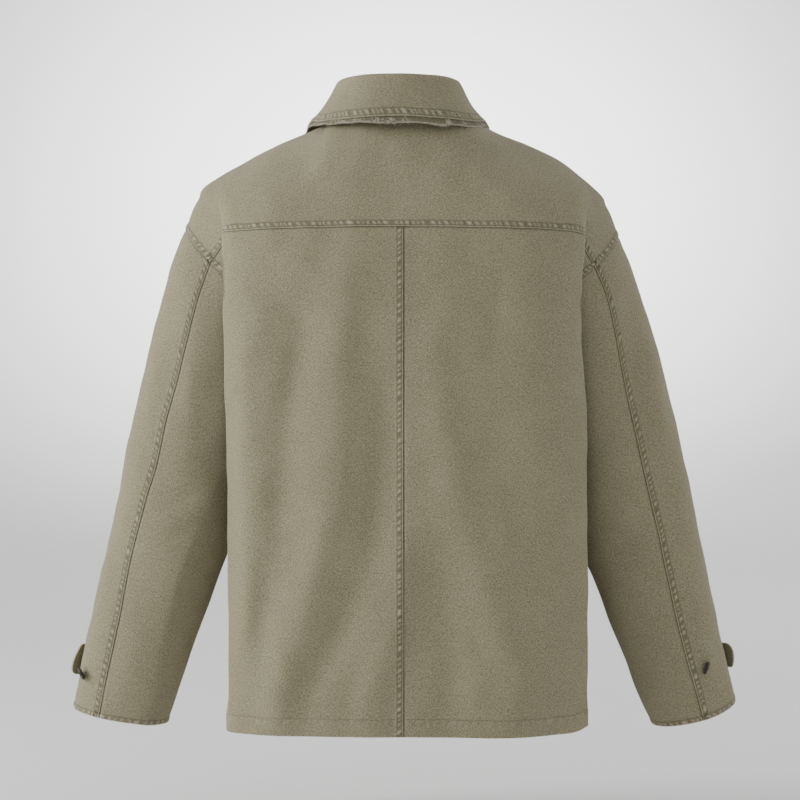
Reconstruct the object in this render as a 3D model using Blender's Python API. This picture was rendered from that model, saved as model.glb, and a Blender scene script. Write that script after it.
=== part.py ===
"""Work jacket in its worn, filled-out form with nobody in it.

Every piece that a maker would cut and sew is one closed solid wall of cloth. The garment's outer surface is
worked out first, as sheets of points that share their seam points. The sheets are welded, each point gets one
direction out of the cloth, and every piece then takes its wall inwards from its own faces, 0.3 mm from its
neighbours. Metres, +Z up, +X the wearer's right, the back of the jacket towards -Y. The origin is at the base
of the neck.
"""

import bmesh
import bpy
import numpy as np
from mathutils import Vector

# Cloth
WALL = 0.0015             # one layer of washed twill
HEM_WALL = 0.0027         # turned and stitched hem
LAYER_GAP = 0.0003        # between pieces at a seam and between layers
HEM_DEPTH = 0.020
CUFF_DEPTH = 0.007

# Body
HEM_Z = -0.683
ARMPIT_Z = -0.2793
YOKE_SEAM_Z = -0.1229     # at the centre back
YOKE_SEAM_DROP = 0.0033   # lower by this at the side fold
NECK_SHARE = 0.41         # where the neck point lies, as a share of the way from centre to side fold
UNDERCUT = 0.014          # how deep the side fold laps over itself at the yoke seam
PLACKET = 0.0175          # each front runs this far past the centre
PLACKET_LIFT = 0.0017     # the wearer's left front lies on the right one
LAP_FADE = (0.0205, 0.050)  # and both fronts come back to their own surface between these widths
CENTRE_GAP = 0.0015       # half the gap between the collar's two front ends
RIGHT_SHOULDER_DROP = 0.008
RIGHT_SHOULDER_IN = 0.002

# Levels of the body below the yoke: heights, depths and widths of the outer surface. "wall" is the half width
# at the side seam, between the back and the front folds.
BODY_LEVELS = [
    # z,      back_y,  fold_left, fold_right, fold_y,  wall,   front_fold, front_fold_y, front_y
    (-0.683, -0.1180,  0.1949,    0.2059,    -0.066,   0.1990,  0.196,      0.060,        0.104),
    (-0.600, -0.1200,  0.1949,    0.2055,    -0.068,   0.1930,  0.196,      0.064,        0.108),
    (-0.500, -0.1210,  0.1952,    0.2048,    -0.070,   0.1760,  0.196,      0.069,        0.111),
    (-0.400, -0.1200,  0.1960,    0.2042,    -0.071,   0.1560,  0.197,      0.072,        0.113),
    (-0.320, -0.1190,  0.1972,    0.2036,    -0.071,   0.1440,  0.197,      0.073,        0.113),
    (-0.279, -0.1185,  0.1985,    0.2010,    -0.071,   0.1459,  0.196,      0.073,        0.112),
    (-0.200, -0.1180,  0.2005,    0.1992,    -0.071,   0.1459,  0.196,      0.073,        0.112),
    (-0.126, -0.1150,  0.2016,    0.2026,    -0.070,   0.1459,  0.196,      0.073,        0.112),
]

# How the back or front turns from the centre to the side fold: share of the width and share of the depth.
PANEL_TURN = [(0.0, 0.0), (0.30, 0.02), (0.60, 0.13), (0.80, 0.36), (0.90, 0.58), (0.96, 0.78), (1.0, 1.0)]

# How the cloth goes back from the side fold to the side seam or the armhole: share of the way along, in
# towards the seam's width, and forward towards its depth.
FOLD_RETURN = [(0.0, 0.0, 0.0), (0.12, 0.10, 0.07), (0.30, 0.45, 0.14), (0.50, 0.80, 0.28),
               (0.75, 0.97, 0.62), (1.0, 1.0, 1.0)]

# The hem of the right back rises at its side fold: share of the width and rise. It fades by HEM_RISE_TOP.
HEM_RISE = [(0.0, 0.0), (0.80, 0.0), (0.94, 0.0022), (1.0, 0.0062), (1.30, 0.0040), (2.0, 0.0)]
HEM_RISE_TOP = -0.62

# Armhole seam, from the armpit (0) up the back to the end of the yoke seam (1), over the shoulder (2) to the
# front end of the yoke (3) and down the front to the armpit again (4).
ARMHOLE = [
    # place, x,     y,      z
    (0.00, 0.1459,  0.000, -0.2793),
    (0.25, 0.1550, -0.040, -0.2620),
    (0.50, 0.1720, -0.057, -0.2280),
    (0.75, 0.1940, -0.060, -0.1830),
    (1.00, 0.2166, -0.050, -0.1590),
    (1.50, 0.2395, -0.031, -0.1320),
    (1.75, 0.2460, -0.017, -0.1225),
    (2.00, 0.2485,  0.000, -0.1186),
    (2.50, 0.2460,  0.018, -0.1225),
    (3.00, 0.2385,  0.035, -0.1340),
    (3.25, 0.2190,  0.053, -0.1650),
    (3.50, 0.1970,  0.062, -0.1980),
    (3.75, 0.1720,  0.052, -0.2400),
    (3.88, 0.1550,  0.034, -0.2640),
    (4.00, 0.1459,  0.000, -0.2793),
]

# Top of the shoulder from the neck point out to the armhole, by share of the panel's width (2 = armhole).
SHOULDER = [
    # share, x,     z
    (0.41, 0.0880,  0.0010),
    (0.50, 0.1070, -0.0085),
    (0.715, 0.1527, -0.0285),
    (1.00, 0.2143, -0.0627),
    (1.46, 0.2348, -0.0855),
    (2.00, 0.2485, -0.1186),
]
NECK_BACK = (0.075, 0.006)              # depth and height of the neck seam at the centre back
NECK_SOFT_SHARE = 0.58                  # below the collar the yoke rounds off the neck's corner up to this share
NECK_FRONT = [
    # share, x,     y,      z
    (0.00, 0.0015,  0.0720, -0.0820),
    (0.14, 0.0400,  0.0660, -0.0660),
    (0.28, 0.0700,  0.0500, -0.0370),
    (0.41, 0.0840,  0.0280, -0.0090),
]
FRONT_SEAM_OFFSET = [(0.41, -0.0040, 0.028, -0.0100), (2.0, -0.0105, 0.032, -0.0164)]

# Soft drape folds that hang in the back and the fronts: height (up is a ridge), half width, and the
# fold's line as pairs of z and x.
BACK_FOLDS = [
    ("left roll", 0.0050, 0.020, [(-0.25, -0.172), (-0.45, -0.176), (-0.62, -0.172)]),
    ("left trough", -0.0052, 0.018, [(-0.24, -0.112), (-0.346, -0.128), (-0.465, -0.139), (-0.62, -0.168)]),
    ("left ridge", 0.0062, 0.022, [(-0.20, -0.066), (-0.346, -0.076), (-0.465, -0.089), (-0.64, -0.142)]),
    ("middle trough", -0.0050, 0.020, [(-0.34, -0.020), (-0.425, -0.026), (-0.504, -0.044), (-0.64, -0.104)]),
    ("middle ridge", 0.0046, 0.018, [(-0.50, -0.003), (-0.543, -0.006), (-0.600, -0.022), (-0.64, -0.032)]),
    ("right trough", -0.0040, 0.024, [(-0.22, 0.100), (-0.307, 0.102), (-0.425, 0.122), (-0.504, 0.150)]),
    ("right ridge", 0.0042, 0.022, [(-0.26, 0.034), (-0.386, 0.054), (-0.504, 0.084), (-0.62, 0.130)]),
    ("low trough", -0.0036, 0.020, [(-0.52, 0.044), (-0.583, 0.056), (-0.64, 0.054)]),
]
FRONT_FOLDS = [
    ("left ridge", 0.0055, 0.024, [(-0.24, -0.090), (-0.42, -0.100), (-0.64, -0.135)]),
    ("left trough", -0.0045, 0.022, [(-0.24, -0.055), (-0.42, -0.062), (-0.64, -0.085)]),
    ("right ridge", 0.0050, 0.024, [(-0.26, 0.085), (-0.45, 0.105), (-0.64, 0.128)]),
    ("right trough", -0.0040, 0.022, [(-0.26, 0.050), (-0.45, 0.064), (-0.64, 0.082)]),
]

# Sleeves: rings down each sleeve, from just below the armhole (1) to the cuff (11). Outer and inner edge of
# the ring, and where the back seam crosses it as a share of its width from the outer edge.
SLEEVE_LEFT = [
    # place, outer_x, outer_z, inner_x, inner_z, seam
    (1.0, 0.2610, -0.1539, 0.1505, -0.2907, 0.295),
    (2.0, 0.2747, -0.1995, 0.1585, -0.3124, 0.305),
    (3.0, 0.2895, -0.2565, 0.1664, -0.3488, 0.305),
    (4.0, 0.3021, -0.3135, 0.1778, -0.3853, 0.290),
    (5.0, 0.3146, -0.3705, 0.1858, -0.4309, 0.285),
    (6.0, 0.3260, -0.4275, 0.1961, -0.4742, 0.255),
    (7.0, 0.3374, -0.4845, 0.2120, -0.5210, 0.240),
    (8.0, 0.3511, -0.5415, 0.2314, -0.5711, 0.275),
    (9.0, 0.3625, -0.5928, 0.2474, -0.6156, 0.283),
    (10.0, 0.3716, -0.6384, 0.2610, -0.6566, 0.293),
    (11.0, 0.3762, -0.6635, 0.2690, -0.6794, 0.300),
]
SLEEVE_RIGHT = [
    # place, outer_x, outer_z, inner_x, inner_z, seam
    (1.0, 0.2577, -0.1560, 0.1505, -0.2970, 0.280),
    (2.0, 0.2725, -0.1995, 0.1585, -0.3192, 0.305),
    (3.0, 0.2896, -0.2565, 0.1665, -0.3545, 0.340),
    (4.0, 0.3033, -0.3135, 0.1779, -0.3899, 0.352),
    (5.0, 0.3169, -0.3705, 0.1870, -0.4355, 0.356),
    (6.0, 0.3295, -0.4275, 0.1984, -0.4788, 0.354),
    (7.0, 0.3409, -0.4845, 0.2189, -0.5210, 0.378),
    (8.0, 0.3534, -0.5415, 0.2360, -0.5689, 0.395),
    (9.0, 0.3648, -0.5928, 0.2565, -0.6156, 0.410),
    (10.0, 0.3739, -0.6304, 0.2713, -0.6555, 0.403),
    (11.0, 0.3796, -0.6555, 0.2850, -0.6829, 0.420),
]
# Half depth of the sleeve and how far forward its middle hangs.
SLEEVE_DEPTH = [(0.0, 0.058, 0.0), (1.0, 0.056, 0.0), (3.0, 0.055, 0.0), (5.0, 0.051, 0.001),
                (7.0, 0.046, 0.004), (9.0, 0.041, 0.008), (11.0, 0.036, 0.010)]
# The back of each cuff hangs lower, and its front higher: by how much, and how far that leans outwards
CUFF_DIP = {-1: (0.005, 0.0), 1: (0.0085, 0.3)}
CUFF_RUN = 0.024          # length of sleeve between its last two places
TAB_RUN = 0.051           # length of sleeve between two places at the tab
FRONT_SLEEVE_SEAM = 3.5   # place of the sleeve's front seam on the armhole

# Collar, by share of the way round from the centre back (0) to the centre front (1).
STAND_TOP = [
    # share, x,     y,      z
    (0.00, 0.0000, -0.0770,  0.0440),
    (0.22, 0.0440, -0.0625,  0.0434),
    (0.32, 0.0565, -0.0470,  0.0426),
    (0.42, 0.0635, -0.0270,  0.0414),
    (0.58, 0.0655,  0.0060,  0.0290),
    (0.80, 0.0450,  0.0420, -0.0120),
    (1.00, 0.0040,  0.0620, -0.0480),
]
LEAF_EDGE = [
    (0.00, 0.0000, -0.0955,  0.0008),
    (0.22, 0.0560, -0.0850, -0.0010),
    (0.38, 0.0885, -0.0500, -0.0015),
    (0.50, 0.0985, -0.0100,  0.0034),
    (0.62, 0.1065,  0.0345, -0.0060),
    (0.80, 0.1040,  0.0880, -0.0660),
    (1.00, 0.0800,  0.1240, -0.1310),
]
COLLAR_SHIFT = -0.0055    # the collar sits this far to the wearer's left
# Across the leaf's top fold, points out from the stand's top and up from it
LEAF_TURN = [(-0.0013, 0.0011), (-0.0011, 0.0034), (0.0017, 0.0052), (0.0055, 0.0043), (0.0074, 0.0012)]
# By share, how far the leaf's fall bows up and out on its way to the edge
LEAF_BOW = [(0.0, -0.004), (0.35, -0.014), (0.50, -0.008), (0.62, 0.020), (0.80, 0.030), (1.0, 0.020)]
RAW_STRIP_UNDER = 0.011   # how far the strip runs up beneath the leaf
# By share, how far it shows below the leaf's edge
RAW_STRIP_BELOW = [(0.0, 0.0085), (0.30, 0.0078), (0.40, 0.0048), (0.55, 0.0030), (0.80, 0.0025), (1.0, 0.0025)]
RAW_STRIP_WALL = 0.0010

# Cuff tabs
TAB_WIDTH = 0.037
TAB_WALL = 0.0022
TAB_PLACE = 9.40          # middle of the tab down the sleeve
TAB_STARTS = 3.48         # place round the sleeve where the tab starts, beside the front seam
TAB_LEAVES = 2.62         # and where its loose end leaves the sleeve
TAB_LIFT = 0.0004         # room under the tab where the sleeve curves
TAB_LOOSE_END = 0.015     # the loose end's straight part
TAB_ROUND = 0.0082        # and its round tip
TAB_SKEW = 0.5            # the left tip leans down by this share, and the right one up

# Buttons
CUFF_BUTTON_RADIUS = 0.0075
FRONT_BUTTON_RADIUS = 0.0100
BUTTON_THICKNESS = 0.0030
BUTTON_SHANK = 0.0009     # thread between a button and the cloth
FRONT_BUTTON_HEIGHTS = [-0.100, -0.200, -0.300, -0.400, -0.500, -0.600]
SPARE_BUTTONS = [
    # side, word,   round, down,  x,     y,     z of the way it faces
    (-1, "left",  1.45,  9.56, -0.86, -0.30, -0.42),
    (1,  "right", 1.19,  9.24,  0.92, -0.24, -0.30),
]

# Where the sheets have their points
PANEL_SHARES = np.array([0, 0.14, 0.28, 0.41, 0.52, 0.63, 0.74, 0.85, 0.94, 1.0, 1.08, 1.22, 1.42, 1.70, 2.0])
BODY_HEIGHTS = np.array([HEM_Z, HEM_Z + HEM_DEPTH, HEM_Z + HEM_DEPTH + 0.001, -0.625, -0.585, -0.545, -0.505,
                         -0.465, -0.425, -0.385, -0.345, -0.310, ARMPIT_Z])
BACK_ARMHOLE_PLACES = np.linspace(0, 1, 7)
YOKE_PLACES = np.linspace(1, 2, 6)
OVER_PLACES = np.linspace(2, 3, 3)
FRONT_ARMHOLE_PLACES = np.linspace(3, 4, 9)
LAST_EVEN_PLACE = 10.5
CUFF_PLACE = 11.0
CUFF_HEM_PLACE = CUFF_PLACE - CUFF_DEPTH / CUFF_RUN
HEM_STEP = 0.05           # over this much of a place the cuff thickens to its hem
SLEEVE_PLACES = np.concatenate([np.linspace(0, LAST_EVEN_PLACE, 18),
                                [CUFF_HEM_PLACE - HEM_STEP, CUFF_HEM_PLACE, CUFF_PLACE]])
NEAR = np.array([-0.05, 0.0, 0.05])  # a place and its two neighbours, for the way that a surface faces
LEAF_SHARES = np.linspace(-1, 1, 39)

OLIVE_TWILL = (0.235, 0.214, 0.150)
DARK_BUTTON = (0.020, 0.017, 0.013)


# ---------------------------------------------------------------- curves

def through(rows, at):
    """Smooth curve through table rows (place, values...): cubic pieces, slopes the mean of the two chords."""
    rows = np.asarray(rows, float)
    knots, values = rows[:, 0], rows[:, 1:]
    at = np.clip(np.asarray(at, float), knots[0], knots[-1])
    step = np.diff(knots)[:, None]
    chord = np.diff(values, axis=0) / step
    inner = (chord[1:] * step[:-1] + chord[:-1] * step[1:]) / (step[1:] + step[:-1])
    slope = np.concatenate([chord[:1], inner, chord[-1:]])
    i = np.clip(np.searchsorted(knots, at, side="right") - 1, 0, len(knots) - 2)
    width = step[i]
    t = ((at - knots[i]) / step[i, 0])[..., None]
    return blend_ends(values[i], values[i + 1], slope[i] * width, slope[i + 1] * width, t)


def blend_ends(start, end, leave, arrive, t):
    """Cubic from start to end that leaves and arrives along the two given directions."""
    return ((2 * t**3 - 3 * t**2 + 1) * start + (t**3 - 2 * t**2 + t) * leave
            + (3 * t**2 - 2 * t**3) * end + (t**3 - t**2) * arrive)


def ease(value, low, high):
    """0 below low, 1 above high, and smooth between."""
    t = np.clip((value - low) / (high - low), 0, 1)
    return t * t * (3 - 2 * t)


def stack(*parts):
    """Points from their x, y and z arrays."""
    return np.stack(np.broadcast_arrays(*parts), axis=-1)


def length(vectors):
    return np.linalg.norm(vectors, axis=-1, keepdims=True)


def direction(vectors):
    return vectors / length(vectors)


# ---------------------------------------------------------------- body

def settle(points, side):
    """Put points of the wearer's right-hand form on its side. The right shoulder sits a little lower."""
    x, y, z = np.moveaxis(np.array(points, float), -1, 0)
    if side > 0:
        low = ease(x, 0.18, 0.24) * ease(z, -0.27, -0.16)
        x, z = x - RIGHT_SHOULDER_IN * low, z - RIGHT_SHOULDER_DROP * low
    return stack(side * x, y, z)


def armhole(places):
    return through(ARMHOLE, places)


def fold_relief(points, folds):
    """How far the drape folds push the cloth out: bell-shaped ridges about each fold's line, fading at its ends."""
    push = np.zeros(points.shape[:-1])
    for _, height, half_width, line in folds:
        line = np.array(line)[::-1]
        low, high = line[0, 0], line[-1, 0]
        centre = through(line, points[..., 2])[..., 0]
        bell = np.exp(-((points[..., 0] - centre) / half_width) ** 2)
        push += height * bell * ease(points[..., 2], low - 0.09, low) * (1 - ease(points[..., 2], high, high + 0.07))
    return push


def body_section(shares, z, ends, side, front):
    """Rows of a back or front: from the centre (0) to the side fold (1) and back to the ends given (2)."""
    level = through(BODY_LEVELS, z)[:, None, :]
    if front:
        centre_y, fold_x, fold_y = level[..., 7], level[..., 5], level[..., 6]
    else:
        centre_y, fold_x, fold_y = level[..., 0], level[..., 2 if side > 0 else 1], level[..., 3]
    flat = np.clip(shares, 0, 1)
    turn = through(PANEL_TURN, flat)[:, 0]
    back = through(FOLD_RETURN, shares - 1)
    undercut = UNDERCUT * ease(z, ARMPIT_Z, YOKE_SEAM_Z)[:, None] * np.sin(np.pi * np.clip(shares - 1, 0, 1))
    z = z[:, None]
    x = np.where(shares <= 1, fold_x * flat, fold_x + (ends[:, None, 0] - fold_x) * back[:, 0] - undercut)
    y = np.where(shares <= 1, centre_y + (fold_y - centre_y) * turn, fold_y + (ends[:, None, 1] - fold_y) * back[:, 1])
    if not front:
        z = z - YOKE_SEAM_DROP * ease(z, ARMPIT_Z, YOKE_SEAM_Z) * flat**2
    if side > 0 and not front:
        z = z + through(HEM_RISE, shares)[:, 0] * (1 - ease(z, HEM_Z, HEM_RISE_TOP))
    z = z + (ends[:, None, 2] - z) * back[:, 1] * (shares > 1)
    return stack(x, y, z)


def side_seam(heights):
    """Points of the side seam below the armpit."""
    return stack(through(BODY_LEVELS, heights)[:, 4], 0.0, heights)


def back_panel(side):
    """Back from the hem to the yoke seam, centre seam to side seam and armhole."""
    heights = np.concatenate([BODY_HEIGHTS, ARMPIT_Z + (YOKE_SEAM_Z - ARMPIT_Z) * BACK_ARMHOLE_PLACES[1:]])
    ends = np.concatenate([side_seam(BODY_HEIGHTS), armhole(BACK_ARMHOLE_PLACES[1:])])
    points = settle(body_section(PANEL_SHARES, heights, ends, side, front=False), side)
    points[..., 1] -= fold_relief(points, BACK_FOLDS) * (1 - ease(PANEL_SHARES, 0.9, 1.0))
    return points


def shoulder_row(shares):
    """Neck seam at the back and then the top of the shoulder, by share of the panel's width."""
    ridge = through(SHOULDER, shares)
    neck_x = SHOULDER[0][1]
    x = neck_x * np.clip(shares / NECK_SHARE, 0, 1)
    y = -NECK_BACK[0] * np.sqrt(np.clip(1 - (x / neck_x) ** 2, 0, 1))
    neck_z = NECK_BACK[1] + (SHOULDER[0][2] - NECK_BACK[1]) * (shares / NECK_SHARE) ** 2
    on_neck = shares < NECK_SHARE
    return stack(np.where(on_neck, x, ridge[:, 0]), np.where(on_neck, y, 0), np.where(on_neck, neck_z, ridge[:, 1]))


def front_seam_row(shares):
    """Neck seam at the front and then the yoke's front seam, by share of the panel's width."""
    neck = through(NECK_FRONT, shares)
    forward = through(FRONT_SEAM_OFFSET, shares)
    return np.where((shares < NECK_SHARE)[:, None], neck, shoulder_row(shares) + forward)


def arch(start, end, leave, arrive, steps):
    """Rows from start to end that leave and arrive along the given directions, each as long as the chord."""
    chord = length(end - start)
    return blend_ends(start[None], end[None], (leave * chord)[None], (arrive * chord)[None], steps[:, None, None])


def hold_armhole(points, places):
    """Bring the outer columns of a shoulder sheet on to the armhole seam."""
    pull = ease(PANEL_SHARES[-points.shape[1]:], 1.0, 2.0)[None, :, None]
    return points + pull * (armhole(places)[:, None, :] - points[:, -1:, :])


def back_yoke_form(side):
    """Yoke from its back seam up to the neck seam and the top of the shoulder."""
    low = settle_back(back_panel(side)[-1] * (side, 1, 1), side)
    top = shoulder_row(PANEL_SHARES)
    lean = ease(PANEL_SHARES, 0.0, NECK_SHARE)[:, None]
    arrive = direction((1 - lean) * (0, 0.45, 0.90) + lean * np.array((0, 1, 0)))
    leave = np.broadcast_to(direction(np.array((0.0, 0.15, 1.0))), top.shape)
    rounded = np.array(top)
    rounded[:, 1] = NECK_BACK[0] * (ease(PANEL_SHARES, 0, NECK_SOFT_SHARE) - 1)
    grid = arch(low, rounded, leave, arrive, YOKE_PLACES - 1)
    grid += (top - rounded) * ease(YOKE_PLACES, 1.6, 2.0)[:, None, None]
    return hold_armhole(grid, YOKE_PLACES)


def settle_back(points, side):
    """Undo the right shoulder's drop, so that a settled seam can start another sheet."""
    if side < 0:
        return points
    own = np.array(points)
    for _ in range(4):
        own += points - settle(own, side) * (side, 1, 1)
    return own


def over_shoulder_form():
    """The yoke's strip from the top of the shoulder forward to its front seam."""
    outer = PANEL_SHARES[PANEL_SHARES >= NECK_SHARE]
    top, front = shoulder_row(outer), front_seam_row(outer)
    leave = np.broadcast_to((0.0, 1.0, 0.0), top.shape)
    arrive = np.broadcast_to((0.0, 0.85, -0.55), top.shape)
    return hold_armhole(arch(top, front, leave, arrive, OVER_PLACES - 2), OVER_PLACES)


def front_form(side):
    """Front from the neck and shoulder seam down to the armpit, rows from the top."""
    low = body_section(PANEL_SHARES, np.array([ARMPIT_Z]), armhole([4.0]), side, front=True)[0]
    low[0, 0] = CENTRE_GAP
    top = front_seam_row(PANEL_SHARES)
    lean = ease(PANEL_SHARES, 0.0, NECK_SHARE)[:, None]
    leave = 0.6 * direction((1 - lean) * (0, 0.35, -0.94) + lean * np.array((0, 0.85, -0.55)))
    arrive = np.broadcast_to((0.0, 0.05, -0.9), top.shape)
    grid = arch(top, low, leave, arrive, FRONT_ARMHOLE_PLACES - 3)
    fold = grid[:, PANEL_SHARES == 1]
    back = through(FOLD_RETURN, PANEL_SHARES - 1)[:, [0, 1, 1]]
    tucked = fold + (armhole(FRONT_ARMHOLE_PLACES)[:, None, :] - fold) * back
    tuck = (ease(FRONT_ARMHOLE_PLACES, 3.0, 3.3)[:, None] * (PANEL_SHARES > 1))[..., None]
    return hold_armhole(grid, FRONT_ARMHOLE_PLACES) * (1 - tuck) + tucked * tuck


def front_panel(side):
    """Front from the hem to the neck and shoulder seam, with its placket past the centre."""
    upper = front_form(side)[::-1]
    heights = BODY_HEIGHTS[:-1]
    lower = body_section(PANEL_SHARES, heights, side_seam(heights), side, front=True)
    lower[:, 0, 0] = CENTRE_GAP
    points = np.concatenate([lower, upper])
    placket = np.array(points[:, :1])
    placket[..., 0] = -PLACKET
    points = settle(np.concatenate([placket, points], axis=1), side)
    shares = np.concatenate([[0], PANEL_SHARES])
    points[..., 1] += fold_relief(points, FRONT_FOLDS) * (1 - ease(shares, 0.9, 1.0))
    lap = 1 - ease(points[..., 0] * side, *LAP_FADE)
    points[..., 1] -= side * PLACKET_LIFT * lap
    return points


# ---------------------------------------------------------------- sleeves

def sleeve_rings(side, places_round):
    """Rings of a sleeve at each place of its table: the armhole first, then ovals between its two edges."""
    table = np.array(SLEEVE_RIGHT if side > 0 else SLEEVE_LEFT)
    rings = [settle(armhole(places_round), side)]
    dip, dip_lean = CUFF_DIP[side]
    for place, outer_x, outer_z, inner_x, inner_z, seam in table:
        half_depth, forward = through(SLEEVE_DEPTH, place)
        seam_turn = np.arccos(1 - 2 * seam)
        turn = through([(0, -np.pi), (1, -seam_turn), (2, 0), (3, 0.30 * np.pi), (3.5, 0.62 * np.pi), (4, np.pi)],
                       places_round)[:, 0]
        across = (1 - np.cos(turn)) / 2
        hang = dip * ease(place, 6, 11) * np.sin(turn) * (1 + dip_lean * np.cos(turn))
        ring = stack(outer_x + (inner_x - outer_x) * across, forward + half_depth * np.sin(turn),
                     outer_z + (inner_z - outer_z) * across + hang)
        rings.append(ring * (side, 1, 1))
    return np.concatenate([[0], table[:, 0]]), np.array(rings)


def sleeve_sheet(side, places_round, places_down):
    """Sleeve surface: each lengthwise line is a smooth curve through the rings."""
    knots, rings = sleeve_rings(side, places_round)
    flat = np.column_stack([knots, rings.reshape(len(knots), -1)])
    return through(flat, places_down).reshape(len(places_down), len(places_round), 3)


def round_places():
    """Points round the armhole that the body and the sleeve share, from the armpit and back to it."""
    return np.concatenate([BACK_ARMHOLE_PLACES, YOKE_PLACES[1:], OVER_PLACES[1:], FRONT_ARMHOLE_PLACES[1:]])


# ---------------------------------------------------------------- sheets to solids

def wall_rows(points, thick_rows, thickness):
    """Wall at every point of a sheet: one layer, and thicker on the given rows."""
    wall = np.full(points.shape[:2], WALL)
    wall[thick_rows] = thickness
    return wall


def add_sheet(cloth, layer, points, wall, piece, inside):
    """Put a sheet of points in the cloth as faces of one piece, looking away from the inside point given."""
    rows = [[cloth.verts.new(p) for p in row] for row in points]
    for row, row_wall in zip(rows, wall):
        for vert, value in zip(row, row_wall):
            vert[layer] = value
    faces = []
    for upper, lower in zip(rows, rows[1:]):
        for a, b, c, d in zip(upper, upper[1:], lower[1:], lower):
            face = cloth.faces.new((a, b, c, d))
            face.material_index = piece
            faces.append(face)
    cloth.normal_update()
    outward = sum((f.normal.dot(f.calc_center_median() - inside(f)) for f in faces))
    if outward < 0:
        bmesh.ops.reverse_faces(cloth, faces=faces)


def make_solids(sheets, materials):
    """Weld all the sheets, take each point's direction out of the cloth, and give every piece its own wall."""
    names = sorted({name for name, *_ in sheets})
    cloth = bmesh.new()
    layer = cloth.verts.layers.float.new("wall")
    for name, points, wall, inside in sheets:
        add_sheet(cloth, layer, points, wall, names.index(name),
                  lambda face, inside=inside: Vector(inside(face.calc_center_median())))
    bmesh.ops.remove_doubles(cloth, verts=cloth.verts, dist=2e-5)
    cloth.normal_update()
    for piece, name in enumerate(names):
        faces = [face for face in cloth.faces if face.material_index == piece]
        solid_from_faces(name, faces, layer, materials)
    cloth.free()


def solid_from_faces(name, faces, layer, material):
    """One piece's solid: its outer faces, the same faces moved in by the wall, and a rim along every edge."""
    inward = {}
    edge_count = {}
    for face in faces:
        for edge in face.edges:
            edge_count[edge] = edge_count.get(edge, 0) + 1
    for face in faces:
        for loop in face.loops:
            if edge_count[loop.edge] == 1:
                along = (loop.link_loop_next.vert.co - loop.vert.co).normalized()
                into = face.normal.cross(along)
                for vert in loop.edge.verts:
                    inward.setdefault(vert, []).append(into)
    outer, inner = {}, {}
    solid = bmesh.new()
    for vert in {vert for face in faces for vert in face.verts}:
        place = vert.co.copy()
        edges_in = inward.get(vert, [])
        if edges_in:
            mean = sum(edges_in[1:], edges_in[0].copy()).normalized()
            place += mean * (LAYER_GAP / 2) / max(mean.dot(edges_in[0]), 0.5)
        own = [face.normal for face in vert.link_faces if face in faces]
        lean = max(min(vert.normal.dot(normal) for normal in own), 0.7)
        outer[vert] = solid.verts.new(place)
        inner[vert] = solid.verts.new(place - vert.normal * vert[layer] / lean)
    for face in faces:
        solid.faces.new([outer[vert] for vert in face.verts])
        solid.faces.new([inner[vert] for vert in reversed(face.verts)])
        for loop in face.loops:
            if edge_count[loop.edge] == 1:
                a, b = loop.vert, loop.link_loop_next.vert
                solid.faces.new((outer[b], outer[a], inner[a], inner[b]))
    add_object(name, solid, material)


def add_object(name, solid, material):
    """Finish a closed bmesh as a named object with its material."""
    bmesh.ops.triangulate(solid, faces=solid.faces)
    mesh = bpy.data.meshes.new(name)
    solid.to_mesh(mesh)
    solid.free()
    mesh.materials.append(material)
    mesh.shade_smooth()
    mesh.set_sharp_from_angle(angle=np.radians(50))
    bpy.context.scene.collection.objects.link(bpy.data.objects.new(name, mesh))


def wall_from_sheet(name, points, out, thickness, material):
    """Solid between a sheet of points and the same sheet moved in by the thickness, with a rim all round."""
    rows, columns = points.shape[:2]
    inner = points - out * thickness
    solid = bmesh.new()
    top = [[solid.verts.new(p) for p in row] for row in points]
    low = [[solid.verts.new(p) for p in row] for row in inner]
    for i in range(rows - 1):
        for j in range(columns - 1):
            solid.faces.new((top[i][j], top[i][j + 1], top[i + 1][j + 1], top[i + 1][j]))
            solid.faces.new((low[i][j], low[i + 1][j], low[i + 1][j + 1], low[i][j + 1]))
    edge = ([(0, j) for j in range(columns - 1)] + [(i, columns - 1) for i in range(rows - 1)]
            + [(rows - 1, j) for j in range(columns - 1, 0, -1)] + [(i, 0) for i in range(rows - 1, 0, -1)])
    for (a, b), (c, d) in zip(edge, edge[1:] + edge[:1]):
        solid.faces.new((top[a][b], low[a][b], low[c][d], top[c][d]))
    bmesh.ops.recalc_face_normals(solid, faces=solid.faces)
    add_object(name, solid, material)


def sheet_normals(points, towards):
    """Unit normals of a sheet of points, turned to the side that the directions given look to."""
    across = np.gradient(points, axis=1)
    down = np.gradient(points, axis=0)
    normals = direction(np.cross(across, down))
    facing = np.sum(normals * towards, axis=-1, keepdims=True)
    return normals * np.sign(facing)


# ---------------------------------------------------------------- collar

def neck_seam(fronts):
    """Neck seam from the left centre front round the back to the right, as the body's sheets have it."""
    halves = []
    for side in (-1, 1):
        neck = PANEL_SHARES < NECK_SHARE + 1e-6
        front = fronts[side][-1, 1:][neck]
        strip = settle(over_shoulder_form(), side)[::-1, 0][1:]
        back = settle(back_yoke_form(side), side)[-1][neck][::-1][1:]
        halves.append(np.concatenate([front, strip, back]))
    return np.concatenate([halves[0], halves[1][::-1][1:]])


def round_shares(points):
    """Share of the way round from the centre back, minus on the left, by length along the points."""
    run = np.concatenate([[0], np.cumsum(length(np.diff(points, axis=0))[:, 0])])
    return run / run[-1] * 2 - 1


def collar_line(table, shares):
    """A line of the collar at the given shares of the way round."""
    place, x, y, z = table[1]
    points = through([(-place, -x, y, z)] + table, np.abs(shares))
    points[:, 0] *= np.sign(shares)
    points[:, 0] += COLLAR_SHIFT * (1 - ease(np.abs(shares), 0.55, 1.0))
    return points


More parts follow.
